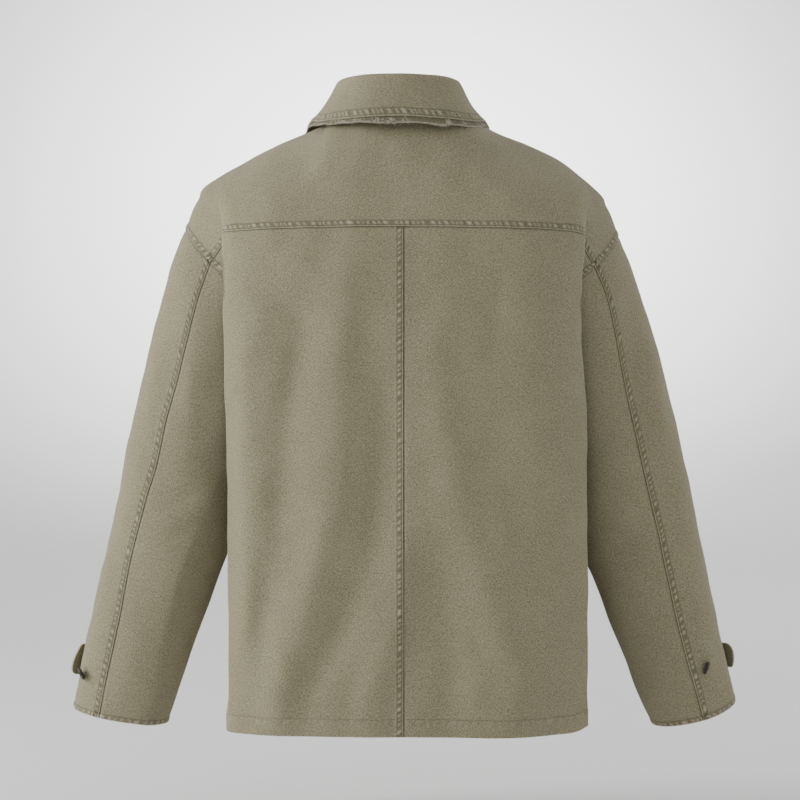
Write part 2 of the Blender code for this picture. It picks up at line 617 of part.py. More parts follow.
def stand_sheet(seam):
    """Collar stand from the neck seam up to its top."""
    top = collar_line(STAND_TOP, round_shares(seam))
    steps = np.linspace(0, 1, 4)[:, None, None]
    return seam + (top - seam) * steps


def leaf_sheet(shares):
    """Collar leaf: from the stand's top it turns over outwards and falls to its edge."""
    top = collar_line(STAND_TOP, shares)
    edge = collar_line(LEAF_EDGE, shares)
    along = np.gradient(top, axis=0)
    out = direction(stack(along[:, 1], -along[:, 0], 0 * shares))
    up = direction(np.cross(along, out) * -1)
    up = up * np.sign(up[:, 2:3])
    turn = [top + out * away + up * rise for away, rise in LEAF_TURN]
    start = turn[-1]
    drop = edge - start
    steps = np.linspace(0, 1, 6)[1:]
    lift = through(LEAF_BOW, np.abs(shares)) * (0, 0.3, 1.0)
    fall = [blend_ends(start, edge, drop + lift, drop - lift, step) for step in steps]
    return np.array(turn + fall)


# ---------------------------------------------------------------- the pieces

def build_cloth(twill):
    """All the sewn cloth but the collar's leaf and its strip."""
    fronts = {side: front_panel(side) for side in (-1, 1)}
    hem_rows = slice(0, 2)
    sheets = []
    for side, word in ((-1, "left"), (1, "right")):
        back = back_panel(side)
        middle = (lambda centre: (0, 0, centre.z))
        sheets.append((f"back_{word}", back, wall_rows(back, hem_rows, HEM_WALL), middle))
        sheets.append((f"front_{word}", fronts[side], wall_rows(fronts[side], hem_rows, HEM_WALL), middle))
        chest = (lambda centre: (0, 0, -0.25))
        for form in (settle(back_yoke_form(side), side), settle(over_shoulder_form(), side)):
            sheets.append(("yoke", form, wall_rows(form, slice(0, 0), WALL), chest))
        sheets += sleeve_pieces(side, word)
    seam = neck_seam(fronts)
    stand = stand_sheet(seam)
    sheets.append(("collar_stand", stand, wall_rows(stand, slice(0, 0), WALL), lambda centre: (0, -0.01, centre.z)))
    make_solids(sheets, twill)
    return fronts


def sleeve_pieces(side, word):
    """Top sleeve over the outer half and under sleeve over the inner half, between the two seams."""
    places = round_places()
    top = places[(places >= 1 - 1e-9) & (places <= FRONT_SLEEVE_SEAM + 1e-9)]
    under = np.concatenate([places[places >= FRONT_SLEEVE_SEAM - 1e-9], places[(places > 0) & (places <= 1 + 1e-9)]])
    pieces = []
    middles = sleeve_rings(side, places[1:])[1].mean(axis=1)[::-1]
    inside = (lambda centre: through(np.column_stack([middles[:, 2], middles]), centre.z))
    for name, columns in ((f"sleeve_top_{word}", top), (f"sleeve_under_{word}", under)):
        points = sleeve_sheet(side, columns, SLEEVE_PLACES)
        pieces.append((name, points, wall_rows(points, slice(-2, None), HEM_WALL), inside))
    return pieces


def build_collar(twill):
    """Leaf and the raw-edged strip beneath its edge."""
    shares = LEAF_SHARES
    leaf = leaf_sheet(shares)
    neck_axis = stack(0 * leaf[..., 0] + COLLAR_SHIFT, 0 * leaf[..., 1] - 0.005, leaf[..., 2] - 0.02)
    out = sheet_normals(leaf, leaf - neck_axis)
    out[0] = -direction((leaf[-1] - leaf[0]) * (1, 1, 0))
    out[1] = direction(out[0] + (0, 0, 1))
    wall_from_sheet("collar_leaf", leaf, out, WALL, twill)
    under = leaf - out * (WALL + 3 * LAYER_GAP)
    last = length(under[-1] - under[-2])
    runs = [-RAW_STRIP_UNDER, -RAW_STRIP_UNDER / 2, 0.0, through(RAW_STRIP_BELOW, np.abs(shares))]
    strip = np.array([under[-1] + (under[-1] - under[-2]) / last * run for run in runs])
    strip_out = np.array([out[-1] + (out[-1] - out[-2]) / last * min(np.max(run), 0) for run in runs])
    wall_from_sheet("collar_raw_strip", strip, direction(strip_out), RAW_STRIP_WALL, twill)


def build_tab(side, word, twill):
    """Cuff tab: from the front sleeve seam over the front of the cuff, its rounded end standing off the sleeve."""
    half = TAB_WIDTH / 2 / TAB_RUN
    widths = np.sin(np.linspace(-1, 1, 9) * np.pi / 2)
    on_sleeve = np.linspace(TAB_STARTS, TAB_LEAVES, 8)
    base = sleeve_sheet(side, on_sleeve, TAB_PLACE + half * widths)
    centre = sleeve_sheet(side, np.linspace(0, 4, 17)[:-1], TAB_PLACE + half * widths).mean(axis=1)[:, None]
    out = sheet_normals(base, base - centre)
    lifted = base + out * (LAYER_GAP + TAB_WALL + TAB_LIFT)
    leave = direction(lifted[:, -1] - lifted[:, -2])
    end = TAB_LOOSE_END + TAB_ROUND * np.sqrt(1 - widths**2) * (1 - side * TAB_SKEW * widths)
    reach = (np.linspace(0, 1, 6)[1:, None] * end)[..., None]
    loose = lifted[:, -1][None] + leave[None] * reach
    points = np.concatenate([lifted, np.moveaxis(loose, 0, 1)], axis=1)
    out = np.concatenate([out, np.repeat(out[:, -1:], 5, axis=1)], axis=1)
    wall_from_sheet(f"cuff_tab_{word}", points, out, TAB_WALL, twill)
    return lifted[4, -2], out[4, -2]


def button(name, centre, normal, radius, material):
    """Sew-through button: a turned disc with a raised rim and a dished middle, with no holes at this size."""
    profile = [(0.0, 0.0), (0.86, 0.0), (1.0, 0.30), (1.0, 0.72), (0.90, 1.0), (0.72, 0.82), (0.0, 0.74)]
    normal = direction(np.array(normal, float))
    side = direction(np.cross(normal, (0.1, 0.2, 1.0)))
    up = np.cross(normal, side)
    angles = np.linspace(0, 2 * np.pi, 15)[:-1]
    solid = bmesh.new()
    rings = []
    for reach, rise in profile:
        middle = np.array(centre) + normal * rise * BUTTON_THICKNESS
        if reach == 0:
            rings.append([solid.verts.new(middle)])
            continue
        around = np.cos(angles)[:, None] * side + np.sin(angles)[:, None] * up
        rings.append([solid.verts.new(p) for p in middle + around * reach * radius])
    for low, high in zip(rings, rings[1:]):
        for k in range(len(angles)):
            n = (k + 1) % len(angles)
            corners = [low[k % len(low)], low[n % len(low)], high[n % len(high)], high[k % len(high)]]
            solid.faces.new(list(dict.fromkeys(corners)))
    bmesh.ops.recalc_face_normals(solid, faces=solid.faces)
    add_object(name, solid, material)


def build_buttons(fronts, tab_places, horn):
    """Front buttons down the placket, the button that fastens each tab and the spare one beside it."""
    placket = fronts[-1]
    line = (placket[:, 0] + placket[:, 1]) / 2
    order = np.argsort(line[:, 2])
    for number, height in enumerate(FRONT_BUTTON_HEIGHTS, start=1):
        y, above_y = np.interp([height, height + FRONT_BUTTON_RADIUS], line[order, 2], line[order, 1])
        normal = direction(np.array((0.0, FRONT_BUTTON_RADIUS, y - above_y)))
        centre = np.array((0.0, y, height)) + normal * BUTTON_SHANK
        button(f"front_button_{number}", centre, normal, FRONT_BUTTON_RADIUS, horn)
    for side, word, place_round, place_down, *facing in SPARE_BUTTONS:
        place, normal = tab_places[side]
        button(f"tab_button_{word}", place + normal * BUTTON_SHANK, normal, CUFF_BUTTON_RADIUS, horn)
        grid = sleeve_sheet(side, place_round + NEAR, place_down + NEAR)
        middle = sleeve_sheet(side, np.linspace(0, 4, 17)[:-1], np.array([place_down])).mean(axis=1)[0]
        normal = sheet_normals(grid, grid - middle)[1, 1]
        tipped = direction(np.array(facing))
        lean = length(np.cross(normal, tipped))[0]
        centre = grid[1, 1] + normal * (BUTTON_SHANK + CUFF_BUTTON_RADIUS * lean)
        button(f"spare_button_{word}", centre, tipped, CUFF_BUTTON_RADIUS, horn)


def material(name, colour, roughness):
    """Principled finish with one colour and roughness."""
    finish = bpy.data.materials.new(name)
    finish.use_nodes = True
    shader = finish.node_tree.nodes["Principled BSDF"]
    shader.inputs["Base Color"].default_value = (*colour, 1.0)
    shader.inputs["Roughness"].default_value = roughness
    shader.inputs["Metallic"].default_value = 0.0
    return finish


for old in list(bpy.data.objects):
    bpy.data.objects.remove(old)
twill = material("olive_twill", OLIVE_TWILL, 0.85)
horn = material("dark_horn", DARK_BUTTON, 0.35)
front_sheets = build_cloth(twill)
build_collar(twill)
tabs = {side: build_tab(side, word, twill) for side, word in ((-1, "left"), (1, "right"))}
build_buttons(front_sheets, tabs, horn)
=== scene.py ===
"""Looks of the work jacket: fine cloth shells with felled seams, stitching, folds and a washed twill finish.

The shells stand on the same surfaces as the solids, worked out from the same tables, and replace them.
Metres, +Z up, +X the wearer's right. The back of the jacket, which the photograph shows, faces -Y.
"""

import bpy
import numpy as np
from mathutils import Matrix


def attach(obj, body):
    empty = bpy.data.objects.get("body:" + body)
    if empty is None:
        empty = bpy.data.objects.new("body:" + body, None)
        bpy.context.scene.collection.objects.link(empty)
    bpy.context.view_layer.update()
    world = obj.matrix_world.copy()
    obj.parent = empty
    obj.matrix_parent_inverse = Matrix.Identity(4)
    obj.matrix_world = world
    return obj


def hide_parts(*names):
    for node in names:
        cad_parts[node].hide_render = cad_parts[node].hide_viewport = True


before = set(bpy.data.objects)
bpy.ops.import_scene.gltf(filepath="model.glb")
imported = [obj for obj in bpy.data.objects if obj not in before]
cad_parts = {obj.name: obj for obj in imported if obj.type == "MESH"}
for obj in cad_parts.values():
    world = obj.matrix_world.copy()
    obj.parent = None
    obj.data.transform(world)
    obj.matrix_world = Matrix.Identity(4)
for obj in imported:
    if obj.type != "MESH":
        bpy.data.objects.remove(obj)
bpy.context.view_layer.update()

# ---------------------------------------------------------------- studio
# The camera stands level at the photograph's angle, square behind the jacket. Its frame is 0.912 m wide at
# the jacket's middle, which is 1.14 mm to each of the photograph's 800 pixels. The pale floor curves up all
# round into a low wall, so that no view has a horizon, and soft lights stand left, right and in front.
VIEW_MIDDLE = (-0.0034, 0.0, -0.3135)
VIEW_DISTANCE = 3.0
VIEW_WIDTH = 0.912
SENSOR_WIDTH = 36.0

camera_data = bpy.data.cameras.new("camera")
camera_data.sensor_width = SENSOR_WIDTH
camera_data.lens = SENSOR_WIDTH * VIEW_DISTANCE / VIEW_WIDTH
camera = bpy.data.objects.new("camera", camera_data)
camera.location = (VIEW_MIDDLE[0], VIEW_MIDDLE[1] - VIEW_DISTANCE, VIEW_MIDDLE[2])
camera.rotation_euler = (np.pi / 2, 0.0, 0.0)
bpy.context.scene.collection.objects.link(camera)
bpy.context.scene.camera = camera

FLOOR_HEIGHT = -0.80
FLOOR_FLAT = 2.6
FLOOR_CURVE = 3.4
WALL_TOP = 3.2
FLOOR_SIDES = 72
FLOOR_GREY = 0.80
FLOOR_ROUGHNESS = 0.9

# name, size, power, spread of its beam, place, point it looks at
LIGHTS = [
    ("key", 1.3, 92.0, 3.14, (-3.05, -1.00, 0.75), (0.0, 0.0, -0.30)),
    ("front_fill", 2.6, 22.0, 3.14, (1.2, 3.0, 1.2), (0.0, 0.0, -0.30)),
    ("left_edge", 1.0, 20.0, 3.14, (-2.90, 0.55, 0.50), (0.0, 0.0, -0.30)),
    ("right_edge", 1.0, 11.0, 3.14, (2.90, 0.30, 0.30), (0.0, 0.0, -0.30)),
    ("backdrop", 2.0, 62.0, 0.80, (0.0, 2.4, 2.2), (0.0, 6.0, -0.30)),
]
SKY_LEVEL = 0.88


def add_light(name, size, power, spread, place, target):
    """Square soft light at its place, turned to look at the target."""
    data = bpy.data.lights.new(name, "AREA")
    data.size = size
    data.energy = power
    data.spread = spread
    light = bpy.data.objects.new(name, data)
    light.location = place
    ahead = np.array(target) - np.array(place)
    tilt = np.arccos(-ahead[2] / np.linalg.norm(ahead))
    light.rotation_euler = (tilt, 0.0, np.arctan2(-ahead[0], ahead[1]))
    bpy.context.scene.collection.objects.link(light)


for light_row in LIGHTS:
    add_light(*light_row)

world = bpy.data.worlds.new("studio")
world.use_nodes = True
world.node_tree.nodes["Background"].inputs["Color"].default_value = (1.0, 1.0, 1.0, 1.0)
world.node_tree.nodes["Background"].inputs["Strength"].default_value = SKY_LEVEL
bpy.context.scene.world = world

bend = np.linspace(0, np.pi / 2, 16)
floor_reach = np.concatenate([[0.01], FLOOR_FLAT + FLOOR_CURVE * np.sin(bend), [FLOOR_FLAT + FLOOR_CURVE]])
floor_rise = np.concatenate([[0.0], FLOOR_CURVE * (1 - np.cos(bend)), [FLOOR_CURVE + WALL_TOP]])
floor_turn = np.linspace(0, 2 * np.pi, FLOOR_SIDES + 1)[:-1]
floor_points = np.stack([np.outer(floor_reach, np.cos(floor_turn)), np.outer(floor_reach, np.sin(floor_turn)),
                         np.repeat(floor_rise[:, None] + FLOOR_HEIGHT, FLOOR_SIDES, axis=1)], axis=-1)
first = np.arange(FLOOR_SIDES * (len(floor_reach) - 1)).reshape(-1, FLOOR_SIDES)
later = np.roll(first, -1, axis=1)
floor_quads = np.stack([first + FLOOR_SIDES, later + FLOOR_SIDES, later, first], axis=-1)
floor_mesh = bpy.data.meshes.new("floor")
floor_mesh.from_pydata(floor_points.reshape(-1, 3).tolist(), [],
                       floor_quads.reshape(-1, 4).tolist() + [list(range(FLOOR_SIDES))])
floor_mesh.shade_smooth()
floor = bpy.data.objects.new("floor", floor_mesh)
bpy.context.scene.collection.objects.link(floor)
floor_finish = bpy.data.materials.new("floor")
floor_finish.use_nodes = True
floor_shader = floor_finish.node_tree.nodes["Principled BSDF"]
floor_shader.inputs["Base Color"].default_value = (FLOOR_GREY, FLOOR_GREY, FLOOR_GREY, 1.0)
floor_shader.inputs["Roughness"].default_value = FLOOR_ROUGHNESS
floor_mesh.materials.append(floor_finish)

# ---------------------------------------------------------------- backs
# Two back panels of washed cotton twill, joined down the centre by a felled seam with two stitch rows, the
# left one on top. Each turns round the side fold to the side seam and the armhole, and ends in a turned hem.
# The sizes and tables are the solids' own, and tables become smooth curves over whole grids of points.
WALL = 0.0015
HEM_WALL = 0.0027
HEM_DEPTH = 0.020
HEM_Z = -0.683
ARMPIT_Z = -0.2793
YOKE_SEAM_Z = -0.1229
YOKE_SEAM_DROP = 0.0033
NECK_SHARE = 0.41
UNDERCUT = 0.014
FOLD_FADE_LOW = 0.09
FOLD_FADE_HIGH = 0.07
RIGHT_SHOULDER_DROP = 0.008
RIGHT_SHOULDER_IN = 0.002

BODY_LEVELS = [
    # z,      back_y,  fold_left, fold_right, fold_y,  wall,   front_fold, front_fold_y, front_y
    (-0.683, -0.1180,  0.1949,    0.2059,    -0.066,   0.1990,  0.196,      0.060,        0.104),
    (-0.600, -0.1200,  0.1949,    0.2055,    -0.068,   0.1930,  0.196,      0.064,        0.108),
    (-0.500, -0.1210,  0.1952,    0.2048,    -0.070,   0.1760,  0.196,      0.069,        0.111),
    (-0.400, -0.1200,  0.1960,    0.2042,    -0.071,   0.1560,  0.197,      0.072,        0.113),
    (-0.320, -0.1190,  0.1972,    0.2036,    -0.071,   0.1440,  0.197,      0.073,        0.113),
    (-0.279, -0.1185,  0.1985,    0.2010,    -0.071,   0.1459,  0.196,      0.073,        0.112),
    (-0.200, -0.1180,  0.2005,    0.1992,    -0.071,   0.1459,  0.196,      0.073,        0.112),
    (-0.126, -0.1150,  0.2016,    0.2026,    -0.070,   0.1459,  0.196,      0.073,        0.112),
]
PANEL_TURN = [(0.0, 0.0), (0.30, 0.02), (0.60, 0.13), (0.80, 0.36), (0.90, 0.58), (0.96, 0.78), (1.0, 1.0)]
FOLD_RETURN = [(0.0, 0.0, 0.0), (0.12, 0.10, 0.07), (0.30, 0.45, 0.14), (0.50, 0.80, 0.28),
               (0.75, 0.97, 0.62), (1.0, 1.0, 1.0)]
HEM_RISE = [(0.0, 0.0), (0.80, 0.0), (0.94, 0.0022), (1.0, 0.0062), (1.30, 0.0040), (2.0, 0.0)]
HEM_RISE_TOP = -0.62
ARMHOLE = [
    # place, x,     y,      z
    (0.00, 0.1459,  0.000, -0.2793),
    (0.25, 0.1550, -0.040, -0.2620),
    (0.50, 0.1720, -0.057, -0.2280),
    (0.75, 0.1940, -0.060, -0.1830),
    (1.00, 0.2166, -0.050, -0.1590),
    (1.50, 0.2395, -0.031, -0.1320),
    (1.75, 0.2460, -0.017, -0.1225),
    (2.00, 0.2485,  0.000, -0.1186),
    (2.50, 0.2460,  0.018, -0.1225),
    (3.00, 0.2385,  0.035, -0.1340),
    (3.25, 0.2190,  0.053, -0.1650),
    (3.50, 0.1970,  0.062, -0.1980),
    (3.75, 0.1720,  0.052, -0.2400),
    (3.88, 0.1550,  0.034, -0.2640),
    (4.00, 0.1459,  0.000, -0.2793),
]
BACK_FOLDS = [
    ("left roll", 0.0050, 0.020, [(-0.25, -0.172), (-0.45, -0.176), (-0.62, -0.172)]),
    ("left trough", -0.0052, 0.018, [(-0.24, -0.112), (-0.346, -0.128), (-0.465, -0.139), (-0.62, -0.168)]),
    ("left ridge", 0.0062, 0.022, [(-0.20, -0.066), (-0.346, -0.076), (-0.465, -0.089), (-0.64, -0.142)]),
    ("middle trough", -0.0050, 0.020, [(-0.34, -0.020), (-0.425, -0.026), (-0.504, -0.044), (-0.64, -0.104)]),
    ("middle ridge", 0.0046, 0.018, [(-0.50, -0.003), (-0.543, -0.006), (-0.600, -0.022), (-0.64, -0.032)]),
    ("right trough", -0.0040, 0.024, [(-0.22, 0.100), (-0.307, 0.102), (-0.425, 0.122), (-0.504, 0.150)]),
    ("right ridge", 0.0042, 0.022, [(-0.26, 0.034), (-0.386, 0.054), (-0.504, 0.084), (-0.62, 0.130)]),
    ("low trough", -0.0036, 0.020, [(-0.52, 0.044), (-0.583, 0.056), (-0.64, 0.054)]),
]


def through(rows, at):
    """Smooth curve through table rows (place, values...): cubic pieces, slopes the mean of the two chords."""
    rows = np.asarray(rows, float)
    knots, values = rows[:, 0], rows[:, 1:]
    at = np.clip(np.asarray(at, float), knots[0], knots[-1])
    step = np.diff(knots)[:, None]
    chord = np.diff(values, axis=0) / step
    inner = (chord[1:] * step[:-1] + chord[:-1] * step[1:]) / (step[1:] + step[:-1])
    slope = np.concatenate([chord[:1], inner, chord[-1:]])
    i = np.clip(np.searchsorted(knots, at, side="right") - 1, 0, len(knots) - 2)
    width = step[i]
    t = ((at - knots[i]) / step[i, 0])[..., None]
    return blend_ends(values[i], values[i + 1], slope[i] * width, slope[i + 1] * width, t)


def blend_ends(start, end, leave, arrive, t):
    """Cubic from start to end that leaves and arrives along the two given directions."""
    return ((2 * t**3 - 3 * t**2 + 1) * start + (t**3 - 2 * t**2 + t) * leave
            + (3 * t**2 - 2 * t**3) * end + (t**3 - t**2) * arrive)


def ease(value, low, high):
    """0 below low, 1 above high, and smooth between."""
    t = np.clip((value - low) / (high - low), 0, 1)
    return t * t * (3 - 2 * t)


def stack(*parts):
    """Points from their x, y and z arrays."""
    return np.stack(np.broadcast_arrays(*parts), axis=-1)


def length(vectors):
    """Length of each vector, kept as a last axis of one."""
    return np.linalg.norm(vectors, axis=-1, keepdims=True)


def direction(vectors):
    """Each vector made one long."""
    return vectors / np.maximum(length(vectors), 1e-12)


def settle(points, side):
    """Put points of the wearer's right-hand form on its side. The right shoulder sits a little lower."""
    x, y, z = np.moveaxis(np.array(points, float), -1, 0)
    if side > 0:
        low = ease(x, 0.18, 0.24) * ease(z, -0.27, -0.16)
        x, z = x - RIGHT_SHOULDER_IN * low, z - RIGHT_SHOULDER_DROP * low
    return stack(side * x, y, z)


def settle_back(points, side):
    """Undo the right shoulder's drop, so that a settled seam can start another sheet."""
    if side < 0:
        return points
    own = np.array(points)
    for _ in range(4):
        own += points - settle(own, side) * (side, 1, 1)
    return own


def armhole(places):
    """Points of the armhole seam, in the wearer's right-hand form."""
    return through(ARMHOLE, places)


def fold_relief(points, folds):
    """How far the drape folds push the cloth out: bell-shaped ridges about each fold's line that fade at its
    ends."""
    push = np.zeros(points.shape[:-1])
    for _, height, half_width, line in folds:
        line = np.array(line)[::-1]
        low, high = line[0, 0], line[-1, 0]
        centre = through(line, points[..., 2])[..., 0]
        bell = np.exp(-((points[..., 0] - centre) / half_width) ** 2)
        started = ease(points[..., 2], low - FOLD_FADE_LOW, low)
        ended = ease(points[..., 2], high, high + FOLD_FADE_HIGH)
        push += height * bell * started * (1 - ended)
    return push


def body_section(shares, z, ends, side, front):
    """Rows of a back or front: from the centre (0) to the side fold (1) and back to the ends given (2)."""
    level = through(BODY_LEVELS, z)[:, None, :]
    if front:
        centre_y, fold_x, fold_y = level[..., 7], level[..., 5], level[..., 6]
    else:
        centre_y, fold_x, fold_y = level[..., 0], level[..., 2 if side > 0 else 1], level[..., 3]
    flat = np.clip(shares, 0, 1)
    turn = through(PANEL_TURN, flat)[:, 0]
    back = through(FOLD_RETURN, shares - 1)
    undercut = UNDERCUT * ease(z, ARMPIT_Z, YOKE_SEAM_Z)[:, None] * np.sin(np.pi * np.clip(shares - 1, 0, 1))
    z = z[:, None]
    back_x = fold_x + (ends[:, None, 0] - fold_x) * back[:, 0] - undercut
    back_y = fold_y + (ends[:, None, 1] - fold_y) * back[:, 1]
    x = np.where(shares <= 1, fold_x * flat, back_x)
    y = np.where(shares <= 1, centre_y + (fold_y - centre_y) * turn, back_y)
    if not front:
        z = z - YOKE_SEAM_DROP * ease(z, ARMPIT_Z, YOKE_SEAM_Z) * flat**2
    if side > 0 and not front:
        z = z + through(HEM_RISE, shares)[:, 0] * (1 - ease(z, HEM_Z, HEM_RISE_TOP))
    z = z + (ends[:, None, 2] - z) * back[:, 1] * (shares > 1)
    return stack(x, y, z)


def side_seam(heights):
    """Points of the side seam below the armpit."""
    return stack(through(BODY_LEVELS, heights)[:, 4], 0.0, heights)


def back_form(side, shares, heights, places):
    """Back from the hem to the yoke seam: rows at the heights below the armpit, then at the armhole's
    places."""
    upper = ARMPIT_Z + (YOKE_SEAM_Z - ARMPIT_Z) * places
    ends = np.concatenate([side_seam(heights), armhole(places)])
    points = settle(body_section(shares, np.concatenate([heights, upper]), ends, side, front=False), side)
    points[..., 1] -= fold_relief(points, BACK_FOLDS) * (1 - ease(shares, 0.9, 1.0))
    return points


# Every panel is a grid of points: rows from "low" to "top", columns from "start" to "end".
EDGES = {"low": (0, False), "top": (0, True), "start": (1, False), "end": (1, True)}
STITCH_ROWS = (0.0017, 0.0066)
SEAM_LAP = 0.0006
SEAM_SINK = 0.0008
PUCKER_PITCH = 0.0070
PUCKER_HEIGHT = 0.00070
PUCKER_REACH = 0.0070
UNDERLAP = 0.0030
INNER_STEP = 4
FINE_SPACING = 0.00055
FINE_MARGIN = 0.002
CURVE_SAMPLES = 1200
TURN_SOFT = 0.0018
LINE_POINTS = 97
FACET_LEFT = 1.6
LEAST_WALL = 0.0003


def runs(values, axis):
    """Length along the grid's lines from their start, at every point."""
    steps = length(np.diff(values, axis=axis))[..., 0]
    start = np.zeros_like(np.take(steps, [0], axis=axis))
    return np.concatenate([start, np.cumsum(steps, axis=axis)], axis=axis)


def even(values, points_at, spacing, fine_zones=()):
    """Parameters spaced evenly by length along their curve, passing each value given, and closer inside the
    fine zones, which are lengths in metres from the start, or from the end where they are below zero."""
    at = np.linspace(values[0], values[-1], CURVE_SAMPLES)
    run = runs(points_at(at), 0)
    closeness = np.zeros(len(run))
    for low, high in fine_zones:
        if low < 0:
            low, high = low + run[-1], high + run[-1]
        inside = ease(run, low - FINE_MARGIN, low) * (1 - ease(run, high, high + FINE_MARGIN))
        closeness = np.maximum(closeness, inside)
    density = 1 / spacing + closeness * (1 / FINE_SPACING - 1 / spacing)
    count = np.concatenate([[0], np.cumsum((density[1:] + density[:-1]) / 2 * np.diff(run))])
    chosen = np.interp(np.linspace(0, count[-1], int(round(count[-1])) + 1), count, at)
    for value in values:
        chosen[np.argmin(np.abs(chosen - value))] = value
    return chosen


def normals_of(points, outward):
    """Unit normals of a grid, turned as one to the side that the outward vectors look to."""
    normals = direction(np.cross(np.gradient(points, axis=1), np.gradient(points, axis=0)))
    return normals * np.sign(np.sum(normals * outward))


def uneven_beat(along, seed, pitch=PUCKER_PITCH):
    """Uneven wave along a seam, from -1 to 1: its beat speeds up and slows down, and its height comes and
    goes."""
    a, b, c = np.random.default_rng(seed).uniform(0, 2 * np.pi, 3)
    beat = along / pitch + 0.30 * np.sin(along / 0.0075 + a) + 0.17 * np.sin(along / 0.0034 + b)
    return np.cos(2 * np.pi * beat) * (0.70 + 0.30 * np.sin(along / 0.0053 + c))


def rumple(points):
    """Soft unevenness of washed cloth: the sum of ten low waves, 24 to 95 mm long, in all directions."""
    draw = np.random.default_rng(11)
    heights = np.geomspace(0.00009, 0.00042, 10)
    waves = direction(draw.normal(size=(10, 3))) * (2 * np.pi / np.geomspace(0.024, 0.095, 10))[:, None]
    return (np.sin(points @ waves.T + draw.uniform(0, 2 * np.pi, 10)) * heights).sum(axis=-1)


